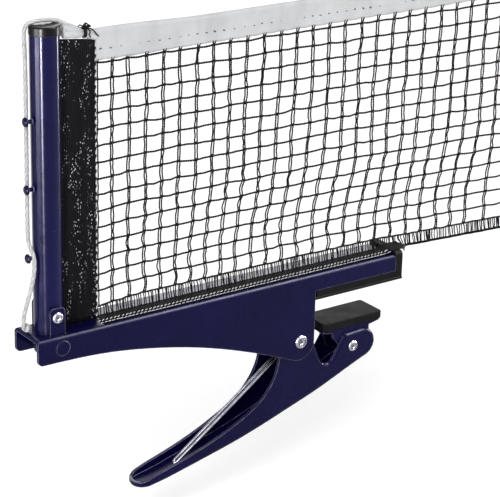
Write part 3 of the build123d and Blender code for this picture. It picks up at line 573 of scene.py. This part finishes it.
knot = Build()
end = [c / MM for c in ROUTE[-1]]
turns = []
for k in range(96):
    a = 2 * math.pi * k / 96
    turns.append((end[0] - 0.9 + KNOT_SIZE * (math.sin(a) + 1.7 * math.sin(2 * a)),
                  end[1] - 0.3 + KNOT_SIZE * (math.cos(a) - 1.7 * math.cos(2 * a)),
                  16.0 - 0.85 * math.sin(3 * a)))
knot.tube(turns + turns[:1], 1.02, sides=12, lobe=0.12, lobes=3, twist=0.1)
knot = knot.piece("cord_end_knot", CORD)
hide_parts("net_cord")
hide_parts("cord_knot")

# ---- net: where it is ---------------------------------------------------------------------------

LOW, HIGH = (np.array(c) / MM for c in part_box("net_mesh"))
X0, X1, Z_TOP = LOW[0], HIGH[0], HIGH[2]
WEB_TOP = 13.75
BUMPER_LENGTH = 4.6
BUMPER_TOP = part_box("upper_jaw_pad")[1][2] / MM
BUMPER_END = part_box("upper_jaw_pad")[1][0] / MM
JAW_END = BUMPER_END - BUMPER_LENGTH
LAST_ROW = [(-121, 19.2), (-110, 20.4), (-98, 21.2), (-80, 21.1), (-60, 20.8), (-2, 20.7),
            (38, 20.3), (56, 19.5), (76, 18.5), (104, 17.3), (133, 16.0)]
ROWS, COLUMNS = 15, 26
NARROW, WIDE = 9.2, 10.6        # a mesh's width at the post and at the far end, before fitting
ROW_R, COLUMN_R = 0.57, 0.42
ROW_STEPS, COLUMN_STEPS = 28, 20        # points along one side of a mesh
PAIR_HALF = 0.34                # half the distance between a column's two threads at a knot
TWINE_TWIST = 0.376             # turns per millimetre
rnd = random.Random(41)


def net_low(x):
    """Height of the netting's last row above the arm, dropping slightly beyond the jaw."""
    return float(np.interp(x, *zip(*LAST_ROW)))


def column_places():
    steps = [lerp(NARROW, WIDE, i / (COLUMNS - 1)) for i in range(COLUMNS)]
    k = (X1 - X0) / sum(steps)
    places = [X0]
    for s in steps:
        places.append(places[-1] + k * s)
    return places


def pulled(x, v):
    """How far the meshes at x are drawn sideways at height v, 0 at the hem and 1 at the tape."""
    drift = 0.16 * smooth_step(0.95, 0.50, v) if v < 0.95 else 0.0
    lean = 0.84 * (1 - smooth_step(0.12, 0.44, v))
    room = smooth_step(X0, X0 + 125, x) * smooth_step(X1 + 2, X1 - 22, x)
    return (-6.4 * (drift + lean) * room
            - 1.3 * room * math.sin(x * 0.075 + 5.5 * v) * (1 - v) * v * 2)


def net_spots():
    """Where each column i crosses each row j."""
    spot = {}
    for i, x in enumerate(column_places()):
        top = Z_TOP - lerp(0.8, 3.1, min(1.0, (x - X0) / 225))
        edge = i in (0, COLUMNS)
        for j in range(ROWS + 1):
            v = j / ROWS
            dx, dz = (0, 0) if edge else (rnd.gauss(0, 0.30), rnd.gauss(0, 0.24))
            at = x + dx + (0 if edge else pulled(x, v))
            z = lerp(net_low(at), top, v) + (dz if 0 < j else 0)
            spot[i, j] = np.array((at + (1.0 if i == 0 else 0), rnd.uniform(-0.12, 0.12), z))
    return spot


def net_row(spot, j):
    """Points of row j, which sags and waves a little between its knots."""
    points = []
    for i in range(COLUMNS):
        a, b = spot[i, j], spot[i + 1, j]
        sag, bow = rnd.uniform(0.0, 0.40), rnd.uniform(-0.2, 0.2)
        wave = rnd.uniform(-0.12, 0.12)
        for k in range(ROW_STEPS):
            t = k / ROW_STEPS
            h = math.sin(math.pi * t)
            off = (0, bow * h, wave * math.sin(3 * math.pi * t) - sag * h)
            points.append(a + (b - a) * t + np.array(off))
    points.append(spot[COLUMNS, j])
    return points


def net_column(spot, i, side, swing):
    """Points of one thread of column i; both bow sideways between rows by swing."""
    inner = 0 < i < COLUMNS
    points = []
    for j in range(ROWS):
        a, b = spot[i, j], spot[i, j + 1]
        part = rnd.uniform(0.10, 0.38) if inner else 0.2
        lean, curl = rnd.uniform(-0.25, 0.25), rnd.uniform(-0.16, 0.16)
        lean -= 0.75 * swing[j] * inner
        for k in range(COLUMN_STEPS):
            t = k / COLUMN_STEPS
            h = math.sin(math.pi * t)
            out = (side * (PAIR_HALF + part * h ** 0.6) + lean * h
                   + curl * math.sin(3 * math.pi * t))
            points.append(a + (b - a) * t + np.array((out, -0.3 * side * (1 - h), 0)))
    end = spot[i, ROWS]
    rise = Z_TOP - end[2] + 0.7         # the threads end behind the tape's lower edge
    for t in (0.0, 0.35, 0.7, 1.0):
        off = (side * (PAIR_HALF + 0.45 * t), -0.75 * t * (1 - 0.2 * t), rise * t)
        points.append(end + np.array(off))
    return points


def netting():
    """Two pieces: the paired threads of the columns, and the rows with their knots."""
    rows, columns = Build(), Build()
    spot = net_spots()
    for j in range(ROWS + 1):
        rows.tube(net_row(spot, j), ROW_R, sides=6, twist=TWINE_TWIST, lobe=0.36)
    for i in range(COLUMNS + 1):
        swing = [smooth_step(9, 4, j) * rnd.uniform(0.3, 1.3) * (-1 if j == 0 else 1)
                 for j in range(ROWS)]
        for side in (-1, 1):
            columns.tube(net_column(spot, i, side, swing), COLUMN_R, sides=6, twist=TWINE_TWIST,
                         lobe=0.32)
    for (i, j), p in spot.items():
        if 0 < i < COLUMNS:
            size = (rnd.uniform(0.80, 1.05), rnd.uniform(0.62, 0.75), rnd.uniform(0.68, 0.86))
            rows.blob(p, size, rings=4, sides=7, wobble=0.14, seed=rnd)
    return columns.piece("netting", NET), rows.piece("netting_rows", NET)


net, net_rows = netting()
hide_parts("net_mesh")

# ---- tape along the net's top -------------------------------------------------------------------

BEAD_Z, BEAD_R = 150.75, 1.42           # the tape's upper edge, where it goes round the cord
TAPE_LOW = Z_TOP
MESH_PITCH = 9.75                       # the netting pulls at the tape's lower edge once a mesh
STATION = 1.55                          # step along the tape


def tape_sag(x):
    """How far the taut top edge hangs below its height at the post."""
    return 1.25 * smooth_step(-113, -60, x)


def tape_row(x):
    """Cross-section of the folded tape at x: up the near side, round the cord, down the far."""
    pull = 0.30 * math.cos(2 * math.pi * (x - X0) / MESH_PITCH) + 0.16 * math.sin(x * 0.113)
    belly = 0.14 * math.sin(x * 0.21 + 1.0) + 0.12 * math.sin(x * 0.083)
    rise = 0.22 * math.sin(x * 0.061 + 0.5) + 0.14 * math.sin(x * 0.19)
    bead = BEAD_Z - tape_sag(x)
    near = []
    for k in range(11):
        t = k / 10
        near.append((-lerp(0.55, 1.36, t ** 2.2) + belly * math.sin(math.pi * t),
                     lerp(TAPE_LOW - pull * 0.5, bead - 0.5, t)))
    arc = [(BEAD_R * math.cos(a), bead + (BEAD_R + 0.12 * rise) * math.sin(a))
           for a in map(math.radians, range(184, -5, -15))]
    far = [(-y + 2 * belly * math.sin(math.pi * k / 10), z) for k, (y, z) in enumerate(near)][::-1]
    return [(x, y, z) for y, z in near + arc + far]


tape = Build()
stations = np.arange(X0 + 0.2, X1 + 0.01, STATION)
tape.grid([tape_row(x) for x in stations], uv=list(stations))
tape = applied(tape.piece("edge_tape", TAPE), ("SOLIDIFY", {"thickness": 0.00032, "offset": 0.0}))

# each fold of the tape gathered at the post: its points, and its radius at them
FOLDS = (
    ([(-118.0, -0.2, 148.6), (-120.5, -0.6, 148.6), (-125.7, -0.7, 149.9),
      (-130.5, -1.2, 150.9), (-137.2, -1.1, 151.4)], [0.45, 1.55, 1.15, 1.55, 1.45]),
    ([(-117.5, 0.0, 150.5), (-120.0, 0.0, 150.8), (-125.7, 0.0, 151.3),
      (-130.5, -0.6, 153.0), (-137.1, -0.6, 154.6)], [0.95, 1.50, 1.25, 1.75, 1.65]),
    ([(-118.0, 0.2, 148.8), (-120.5, 0.6, 149.1), (-125.7, 0.7, 150.2),
      (-130.5, 1.2, 151.3), (-137.2, 1.1, 152.0)], [0.5, 1.45, 1.10, 1.5, 1.45]),
    ([(-119.0, 0.0, 151.0), (-125.7, 0.2, 151.7), (-129.5, 0.6, 153.2),
      (-133.4, 0.8, 155.0), (-136.9, 0.4, 155.5)], [0.8, 1.0, 1.3, 1.3, 1.3]),
)
folds = Build()
for path, size in FOLDS:
    radius = [p[0] for p in through([(s, 0, 0) for s in size], 14)]
    folds.tube(through(path, 14), radius, sides=20, lobe=0.20, lobes=5, twist=0.035)
gather = applied(folds.piece("gathered_tape", TAPE),
                 ("REMESH", {"mode": "VOXEL", "voxel_size": 0.00028}),
                 ("SMOOTH", {"factor": 0.5, "iterations": 2}))
for p in gather.data.polygons:
    p.use_smooth = True

seam = Build()
x = X0 + 3.0
while x < X1 - 2:
    for side in (-1, 1):
        z = TAPE_LOW + 5.2 + rnd.uniform(-0.2, 0.2)
        y, up = side * 0.80, rnd.uniform(-0.5, 0.5)
        proud = y + side * 0.08
        seam.tube([(x - 0.60, y * 0.80, z - up), (x - 0.25, proud, z + up), (x + 0.2, proud, z),
                   (x + 0.50, y * 0.80, z - 0.3)], 0.19, sides=6)
    x += 5.2 + rnd.uniform(-0.8, 0.8)
seam = seam.piece("tape_stitches", THREAD)
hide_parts("net_tape")

# ---- thread tied round the gathered tape --------------------------------------------------------

TIE_X = X0 - 5.2
RING_LOW, RING_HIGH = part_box("tape_tie")[0][2] / MM + 0.1, 152.9
THREAD_R = 0.29
BOW = (                     # loops, crossings and loose ends, from the knot on top
    [(0, 0, 0), (1.3, -0.6, 1.0), (2.4, -0.9, 1.1), (3.0, -0.6, 0.4), (2.1, 0.0, 0.1),
     (1.0, 0.1, -0.1), (0, 0, 0)],
    [(0, 0, 0), (-1.0, 0.4, 1.1), (-2.0, 0.5, 1.4), (-2.7, 0.2, 0.7), (-1.8, -0.3, 0.2),
     (-1.0, -0.2, 0), (0, 0, 0)],
    [(0.2, 0, 0), (0.5, 0.5, 1.4), (1.4, 0.7, 1.9), (2.1, 0.1, 1.2), (1.4, -0.5, 0.5),
     (0.6, -0.3, 0.1)],
    [(-0.2, 0, 0), (-0.9, -0.7, 1.0), (-0.3, -0.9, 2.0), (0.7, -0.4, 1.9), (0.9, 0.3, 0.8),
     (0, 0.3, 0)],
    [(-1.6, -0.6, 0.1), (-0.6, -0.9, 1.3), (0.6, -0.8, 0.6), (1.8, -0.9, 1.5), (2.6, -0.5, 0.3)],
    [(-2.2, 0.0, 0.6), (-1.2, -0.9, 0.3), (0.0, -1.0, 1.4), (1.2, -0.7, 0.2), (2.8, -0.3, 0.9)],
    [(0, 0, 0.2), (-1.6, -0.8, 0.2), (-3.6, -1.0, 0.1), (-5.6, -0.6, 0.8)],
    [(0, -0.2, 0), (1.2, -1.7, -0.4), (1.9, -2.2, -1.6), (1.2, -2.5, -2.6), (2.0, -2.5, -3.9)],
    [(0, -0.2, 0), (2.6, -1.6, -0.3), (4.3, -2.1, -1.7), (5.4, -1.9, -3.2), (6.6, -1.7, -4.2)],
    [(0, -0.2, 0), (-0.8, -1.9, -0.8), (-1.0, -2.3, -2.4), (-2.0, -2.2, -3.6)],
)
tie = Build()
for turn in (-0.42, 0.0, 0.40):
    loop = []
    for k in range(29):
        a = 2 * math.pi * k / 28
        loop.append((TIE_X + turn + 0.12 * math.sin(3 * a), 2.0 * math.cos(a),
                     (RING_LOW + RING_HIGH) / 2 + (RING_HIGH - RING_LOW) / 2 * math.sin(a)))
    tie.tube(loop, 0.22, sides=7)
top = RING_HIGH + 0.2
tie.blob((TIE_X, -0.25, top + 0.2), (1.5, 1.0, 0.8), wobble=0.25, seed=rnd)
for path in BOW:
    tie.tube([(TIE_X + a, b, top + c) for a, b, c in through(path, 8)], THREAD_R, sides=6)
tie = tie.piece("thread_bow", THREAD)
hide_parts("tape_tie")

# ---- sleeves ------------------------------------------------------------------------------------

SLEEVE_HALF = 0.45          # half the distance between the sleeve's two sides
RIB = 1.12                  # width of one rib of the cloth
RIB_HEIGHT = 0.17
RIB_STEP, LOOP_STEPS, HEIGHT_STEP = 0.19, 30, 2.6       # spacing of the mesh's points


def sleeve_rows(edge, middle, r, heights):
    """Folded fabric: from its edge along one side, round the rod at middle and back."""
    way = 1 if middle > edge else -1
    start = math.asin(SLEEVE_HALF / r)
    reach = abs(middle - edge) - r * math.cos(start)
    count = int(reach / RIB_STEP)
    rows = []
    for z in heights:
        sway = 0.10 * math.sin(z * 0.07)
        flat = []
        for k in range(count + 1):
            d = reach * k / count
            rib = RIB_HEIGHT * abs(math.sin(math.pi * d / RIB)) + 0.04 * math.sin(z * 0.9 + d)
            flat.append((edge + way * d, SLEEVE_HALF + rib, sway))
        loop = []
        for k in range(1, LOOP_STEPS):
            a = start + (2 * math.pi - 2 * start) * k / LOOP_STEPS
            loop.append((middle - way * r * math.cos(a), r * math.sin(a), z))
        rows.append([(x, y + w, z) for x, y, w in flat] + loop
                    + [(x, -y + w, z) for x, y, w in flat[::-1]])
    return rows


def sleeve(name, edge, middle, r, low, high, loop_low, slope=0.0):
    """Sleeve whose loop round the rod starts at loop_low and whose top edge rises by slope."""
    heights = list(np.arange(low, high, HEIGHT_STEP)) + [high]
    made = Build()
    made.grid(sleeve_rows(edge, middle, r, heights), uv=heights)

    def raised(x, z):
        return z + slope * (abs(x - edge) - 9.0) * smooth_step(0.8, 1.0, (z - low) / (high - low))

    made.v = [(x, y, raised(x, z)) for x, y, z in made.v]
    cut = abs(middle - edge) - 7.2
    keep = [k for k, face in enumerate(made.f)
            if not (max(made.v[q][2] for q in face) <= loop_low + 1.3
                    and abs(made.v[face[0]][0] - edge) > cut)]
    made.f = [made.f[k] for k in keep]
    made.uv = [made.uv[k] for k in keep]
    made.m = [made.m[k] for k in keep]
    return applied(made.piece(name, SLEEVE), ("SOLIDIFY", {"thickness": 0.00055, "offset": 1.0}))


def selvedge(name, x, low, high):
    """Black and white cord twisted together along a sleeve's edge."""
    made = Build()
    for phase, mat in ((0.0, 0), (math.pi, 1)):
        points = []
        for z in np.arange(low, high, 0.45):
            a = 2 * math.pi * z / 3.6 + phase
            points.append((x + 0.42 * math.cos(a), 0.66 * math.sin(a), z))
        made.tube(points, 0.38 if mat else 0.46, sides=7, mat=mat)
    return made.piece(name, [THREAD, STITCH])


def middle_of(node):
    """X of a node's middle."""
    low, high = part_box(node)
    return (low[0] + high[0]) / 2 / MM


Z_WEB = WEB_TOP + 0.25
SLEEVE_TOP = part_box("net_sleeve")[1][2] / MM
POST_X, ROD_X = middle_of("post_tube"), middle_of("net_end_rod")
NO_CUT = -99.0              # below the sleeve, so its loop is whole
end_low, end_high = (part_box("net_end_sleeve")[k][2] / MM for k in (0, 1))
near_sleeve = sleeve("post_sleeve", X0 - 0.4, POST_X, 3.42, Z_WEB, SLEEVE_TOP, 25.0, 0.12)
far_sleeve = sleeve("end_sleeve", X1 + 0.4, ROD_X, 3.0, end_low, end_high, NO_CUT)
near_edge = selvedge("post_selvedge", X0, Z_WEB, SLEEVE_TOP - 1.4)
far_edge = selvedge("end_selvedge", X1, net_low(X1), TAPE_LOW)
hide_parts("net_sleeve")
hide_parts("net_end_sleeve")

# ---- fringe, hem and chain stitch ---------------------------------------------------------------

LYING, HANGING = 2.6, 88.0              # the hem's slope in degrees on the arm and beyond it
LYING_LENGTH, HANGING_LENGTH = 8.7, 6.0
CHAIN_STEP = 2.15                       # one stitch of the chain


def hem_free(x):
    """0 where the hem lies on the arm, 1 where it hangs free beyond the jaw."""
    return smooth_step(BUMPER_END + 0.5, BUMPER_END + 11.0, x)


def hem_drop(x):
    """How far the fringe hangs from the last row before it turns out over the arm."""
    on_web = lerp(WEB_TOP + 0.8, BUMPER_TOP + 0.6, smooth_step(JAW_END - 5, JAW_END - 0.3, x))
    return lerp(max(0.6, net_low(x) - on_web), 0.8, hem_free(x))


def hem_at(x, s, lift=0.0):
    """Point at distance s down the hem from the last row at x, lifted off its outer face."""
    free, drop = hem_free(x), hem_drop(x)
    turn = math.radians(lerp(LYING, HANGING, free))
    bend = smooth_step(drop - 0.5, drop + 0.5, s)
    ripple = 0.20 * math.sin(x * 0.31) + 0.14 * math.sin(x * 0.83 + 1)
    down, out = min(s, drop), max(0.0, s - drop)
    y = -out * math.cos(turn) + 0.6 * ripple * free
    z = net_low(x) - down - out * math.sin(turn) + (1 - free) * 0.10 * ripple * bend
    tilt = lerp(math.pi / 2, turn, bend)
    return np.array((x, y - lift * math.sin(tilt), z + lift * math.cos(tilt)))


def hem_length(x):
    return hem_drop(x) + lerp(LYING_LENGTH, HANGING_LENGTH, hem_free(x))


def band_start(x):
    """Where the woven band starts below the fringe."""
    return lerp(hem_drop(x) - 0.4, hem_length(x) - 1.3, hem_free(x))


xs = list(np.arange(X0, X1 + 0.1, 1.1))
band = Build()
band.grid([[hem_at(x, lerp(band_start(x), hem_length(x), k / 8)) for k in range(9)] for x in xs],
          uv=xs)
band = applied(band.piece("hem_band", BAND), ("SOLIDIFY", {"thickness": 0.00050, "offset": 0.0}),
               ("SUBSURF", {"levels": 1}))
fringe = Build()
x = X0 + 0.6
while x < X1 - 0.8:
    free = hem_free(x)
    lean = rnd.uniform(0.1, 1.5)
    long = lerp(hem_drop(x) + 0.6, hem_length(x) - 0.8, free)
    wave = rnd.uniform(-0.35, 0.35)
    thread = [hem_at(min(X1, x + lean * t), long * t, 0.30) + (wave * math.sin(math.pi * t), 0, 0)
              for t in (0, 0.12, 0.25, 0.38, 0.5, 0.62, 0.8, 1.0)]
    fringe.tube(thread, rnd.uniform(0.26, 0.36), sides=6)
    x += rnd.choice((0.75, 1.1, 1.35, 1.75)) + rnd.uniform(-0.1, 0.1)
fringe = fringe.piece("hem_fringe", THREAD)
chain = Build()
x = X0 - 2.5
while x < JAW_END - 3.5:
    for off, slant, size in ((2.75, 0.45, 0.24), (0.35, 0.08, 0.19)):
        at = x + rnd.uniform(-0.15, 0.15)
        long = 1.75 + rnd.uniform(-0.25, 0.25)
        foot = hem_length(max(X0, at)) - off
        stitch = [hem_at(at + long * t, foot - slant * (2 * t - 1), 0.40 + 0.12 * b)
                  for t, b in ((0, -0.6), (0.2, 0.6), (0.5, 1.0), (0.8, 0.6), (1.0, -0.6))]
        chain.tube(stitch, [size * 0.6, size, size, size, size * 0.6], sides=6)
    x += CHAIN_STEP
chain = chain.piece("hem_stitches", STITCH)
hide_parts("net_hem")

# ---- torsion spring -----------------------------------------------------------------------------

PIVOT = np.array([(a + b) / 2 / MM for a, b in zip(*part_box("pivot_pin"))])
WIRE_R, COIL_R, TURNS = 0.85, 4.7, 2
BAIL_HALF, COIL_OUT = 1.2, 6.55         # the coil's inner and outer ends, from the mid-plane
LEG = (-43.0, 11.3)                     # X and Z where the short legs bear on the arm
BAIL = (-75.0, -72.92)                  # and where the long leg bears on the lever
BAIL_STEPS, COIL_STEPS, LEG_STEPS = 12, 120, 7


def spring():
    """Double torsion spring: short leg, coil, long bail, coil, short leg."""

    def tangent(px, pz, sign):
        dx, dz = px - PIVOT[0], pz - PIVOT[2]
        return math.atan2(dz, dx) + sign * math.acos(COIL_R / math.hypot(dx, dz))

    def on_coil(a):
        return PIVOT[0] + COIL_R * math.cos(a), PIVOT[2] + COIL_R * math.sin(a)

    a0, a1 = tangent(*BAIL, 1), tangent(*LEG, -1)
    while a1 < a0:
        a1 += 2 * math.pi
    a1 += 2 * math.pi * TURNS

    def run(start, end, y, t):
        return lerp(start[0], end[0], t), y, lerp(start[1], end[1], t)

    def half(side):
        points = [run(BAIL, on_coil(a0), side * BAIL_HALF, k / BAIL_STEPS)
                  for k in range(BAIL_STEPS + 1)]
        for k in range(1, COIL_STEPS + 1):
            x, z = on_coil(lerp(a0, a1, k / COIL_STEPS))
            points.append((x, side * lerp(BAIL_HALF, COIL_OUT, k / COIL_STEPS), z))
        return points + [run(on_coil(a1), LEG, side * COIL_OUT, k / LEG_STEPS)
                         for k in range(1, LEG_STEPS + 1)]

    near, far = half(-1), half(1)
    out = np.array((near[0][0] - near[BAIL_STEPS][0], 0, near[0][2] - near[BAIL_STEPS][2]))
    out /= np.linalg.norm(out)
    bow = [np.array(near[0]) * (1, 0, 1) + out * (BAIL_HALF * math.sin(a))
           + (0, -BAIL_HALF * math.cos(a), 0) for a in (math.pi * k / 8 for k in range(1, 8))]
    made = Build()
    made.tube(near[::-1] + bow + far, WIRE_R, sides=14)
    return made.piece("spring_wire", STEEL, body=None)


wire = spring()
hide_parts("torsion_spring")
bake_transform(wire)

# ---- floor, light and background ----------------------------------------------------------------

FLOOR_DROP = 0.0245         # below the lever's tip at rest, clear of it when the lever is down
FLOOR_HALF = 6.0
LIT, UNLIT = (0.9, 0.36), (2.4, 0.68)   # distance from the middle and glow, for an even white
WORLD_LIGHT = 0.42


def ray_share(m):
    """1 for rays from the camera, from gloss and from glass, 0 for those that light things."""
    rays = m.nodes.new("ShaderNodeLightPath")
    total = rays.outputs["Is Camera Ray"]
    for name in ("Is Glossy Ray", "Is Transmission Ray"):
        add = m.nodes.new("ShaderNodeMath")
        add.operation, add.use_clamp = "ADD", True
        m.links.new(total, add.inputs[0])
        m.links.new(rays.outputs[name], add.inputs[1])
        total = add.outputs[0]
    return total


def stage_floor():
    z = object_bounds()[0][2] - FLOOR_DROP
    mesh = bpy.data.meshes.new("floor")
    corners = ((-1, -1), (1, -1), (1, 1), (-1, 1))
    mesh.from_pydata([(x * FLOOR_HALF, y * FLOOR_HALF, z) for x, y in corners], [], [(0, 1, 2, 3)])
    floor = bpy.data.objects.new("floor", mesh)
    scene.collection.objects.link(floor)
    m = Mat("floor_pale", Roughness=0.95, Specular_IOR_Level=0.1)
    tone = m.range(m.noise(3.0, 3.0, 0.5), 0.3, 0.7, 0.0, 1.0)
    m.done(m.mix(tone, (0.82, 0.82, 0.82), (0.84, 0.84, 0.84)), None,
           m.bump(m.noise(600.0, 2.0, 0.5), 0.0002, 0.2))
    m.s.inputs["Emission Color"].default_value = (1, 1, 1, 1)
    away = m.n.new("ShaderNodeVectorMath")
    away.operation = "LENGTH"
    m.link(m.place, away.inputs[0])
    glow = m.range(away.outputs["Value"], LIT[0], UNLIT[0], LIT[1], UNLIT[1])
    m.link(m.math("MULTIPLY", ray_share(m.t), glow), m.s.inputs["Emission Strength"])
    mesh.materials.append(m.m)


def stage_world():
    world = bpy.data.worlds.new("studio")
    scene.world = world
    world.use_nodes = True
    t = world.node_tree
    back = t.nodes["Background"]
    back.inputs["Color"].default_value = (1, 1, 1, 1)
    mix = t.nodes.new("ShaderNodeMapRange")
    t.links.new(ray_share(t), mix.inputs["Value"])
    mix.inputs["To Min"].default_value = WORLD_LIGHT
    mix.inputs["To Max"].default_value = 1.0
    t.links.new(mix.outputs[0], back.inputs["Strength"])


def lamp(name, place, aim, size, power, gloss_only=False, along=(0, 0, 1)):
    """Soft panel at place that faces aim, its height as nearly as it can be along a direction."""
    data = bpy.data.lights.new(name, "AREA")
    data.shape, data.size, data.size_y = "RECTANGLE", size[0], size[1]
    data.energy = power
    obj = bpy.data.objects.new(name, data)
    back = (Vector(place) - Vector(aim)).normalized()
    side = Vector(along).cross(back).normalized()
    facing = Matrix((side, back.cross(side), back)).transposed().to_4x4()
    obj.matrix_world = Matrix.Translation(place) @ facing
    obj.visible_camera = False
    obj.visible_diffuse = not gloss_only
    scene.collection.objects.link(obj)


stage_floor()
stage_world()
lamp("key", (-1.05, -0.95, 1.15), (0, 0, 0.03), (0.9, 0.9), 20.0)
lamp("fill", (0.9, -1.2, 0.55), (0, 0, 0.03), (1.0, 0.8), 6.5)
lamp("rear", (0.3, 1.2, 1.0), (0, 0, 0.03), (1.2, 0.7), 6.0)
post = (POST_X * MM, 0, 0.09)
lamp("post_line", (-0.631, -0.353, 0.035), post, (0.055, 0.14), 11.0, True)
lamp("post_left", (-0.744, -0.042, 0.035), post, (0.36, 0.14), 7.0, True)
lamp("post_edge", (0.452, -0.052, 0.06), post, (0.045, 0.14), 2.4, True)
lamp("bend", (0.63, -0.44, 0.96), (-0.03, 0, 0), (0.34, 0.90), 46.0, True, (0, 0.906, 0.423))
lamp("behind", (0.77, 1.14, 0.545), (-0.03, 0, 0.014), (0.5, 0.4), 4.0, True)

scene.view_settings.view_transform = "Standard"
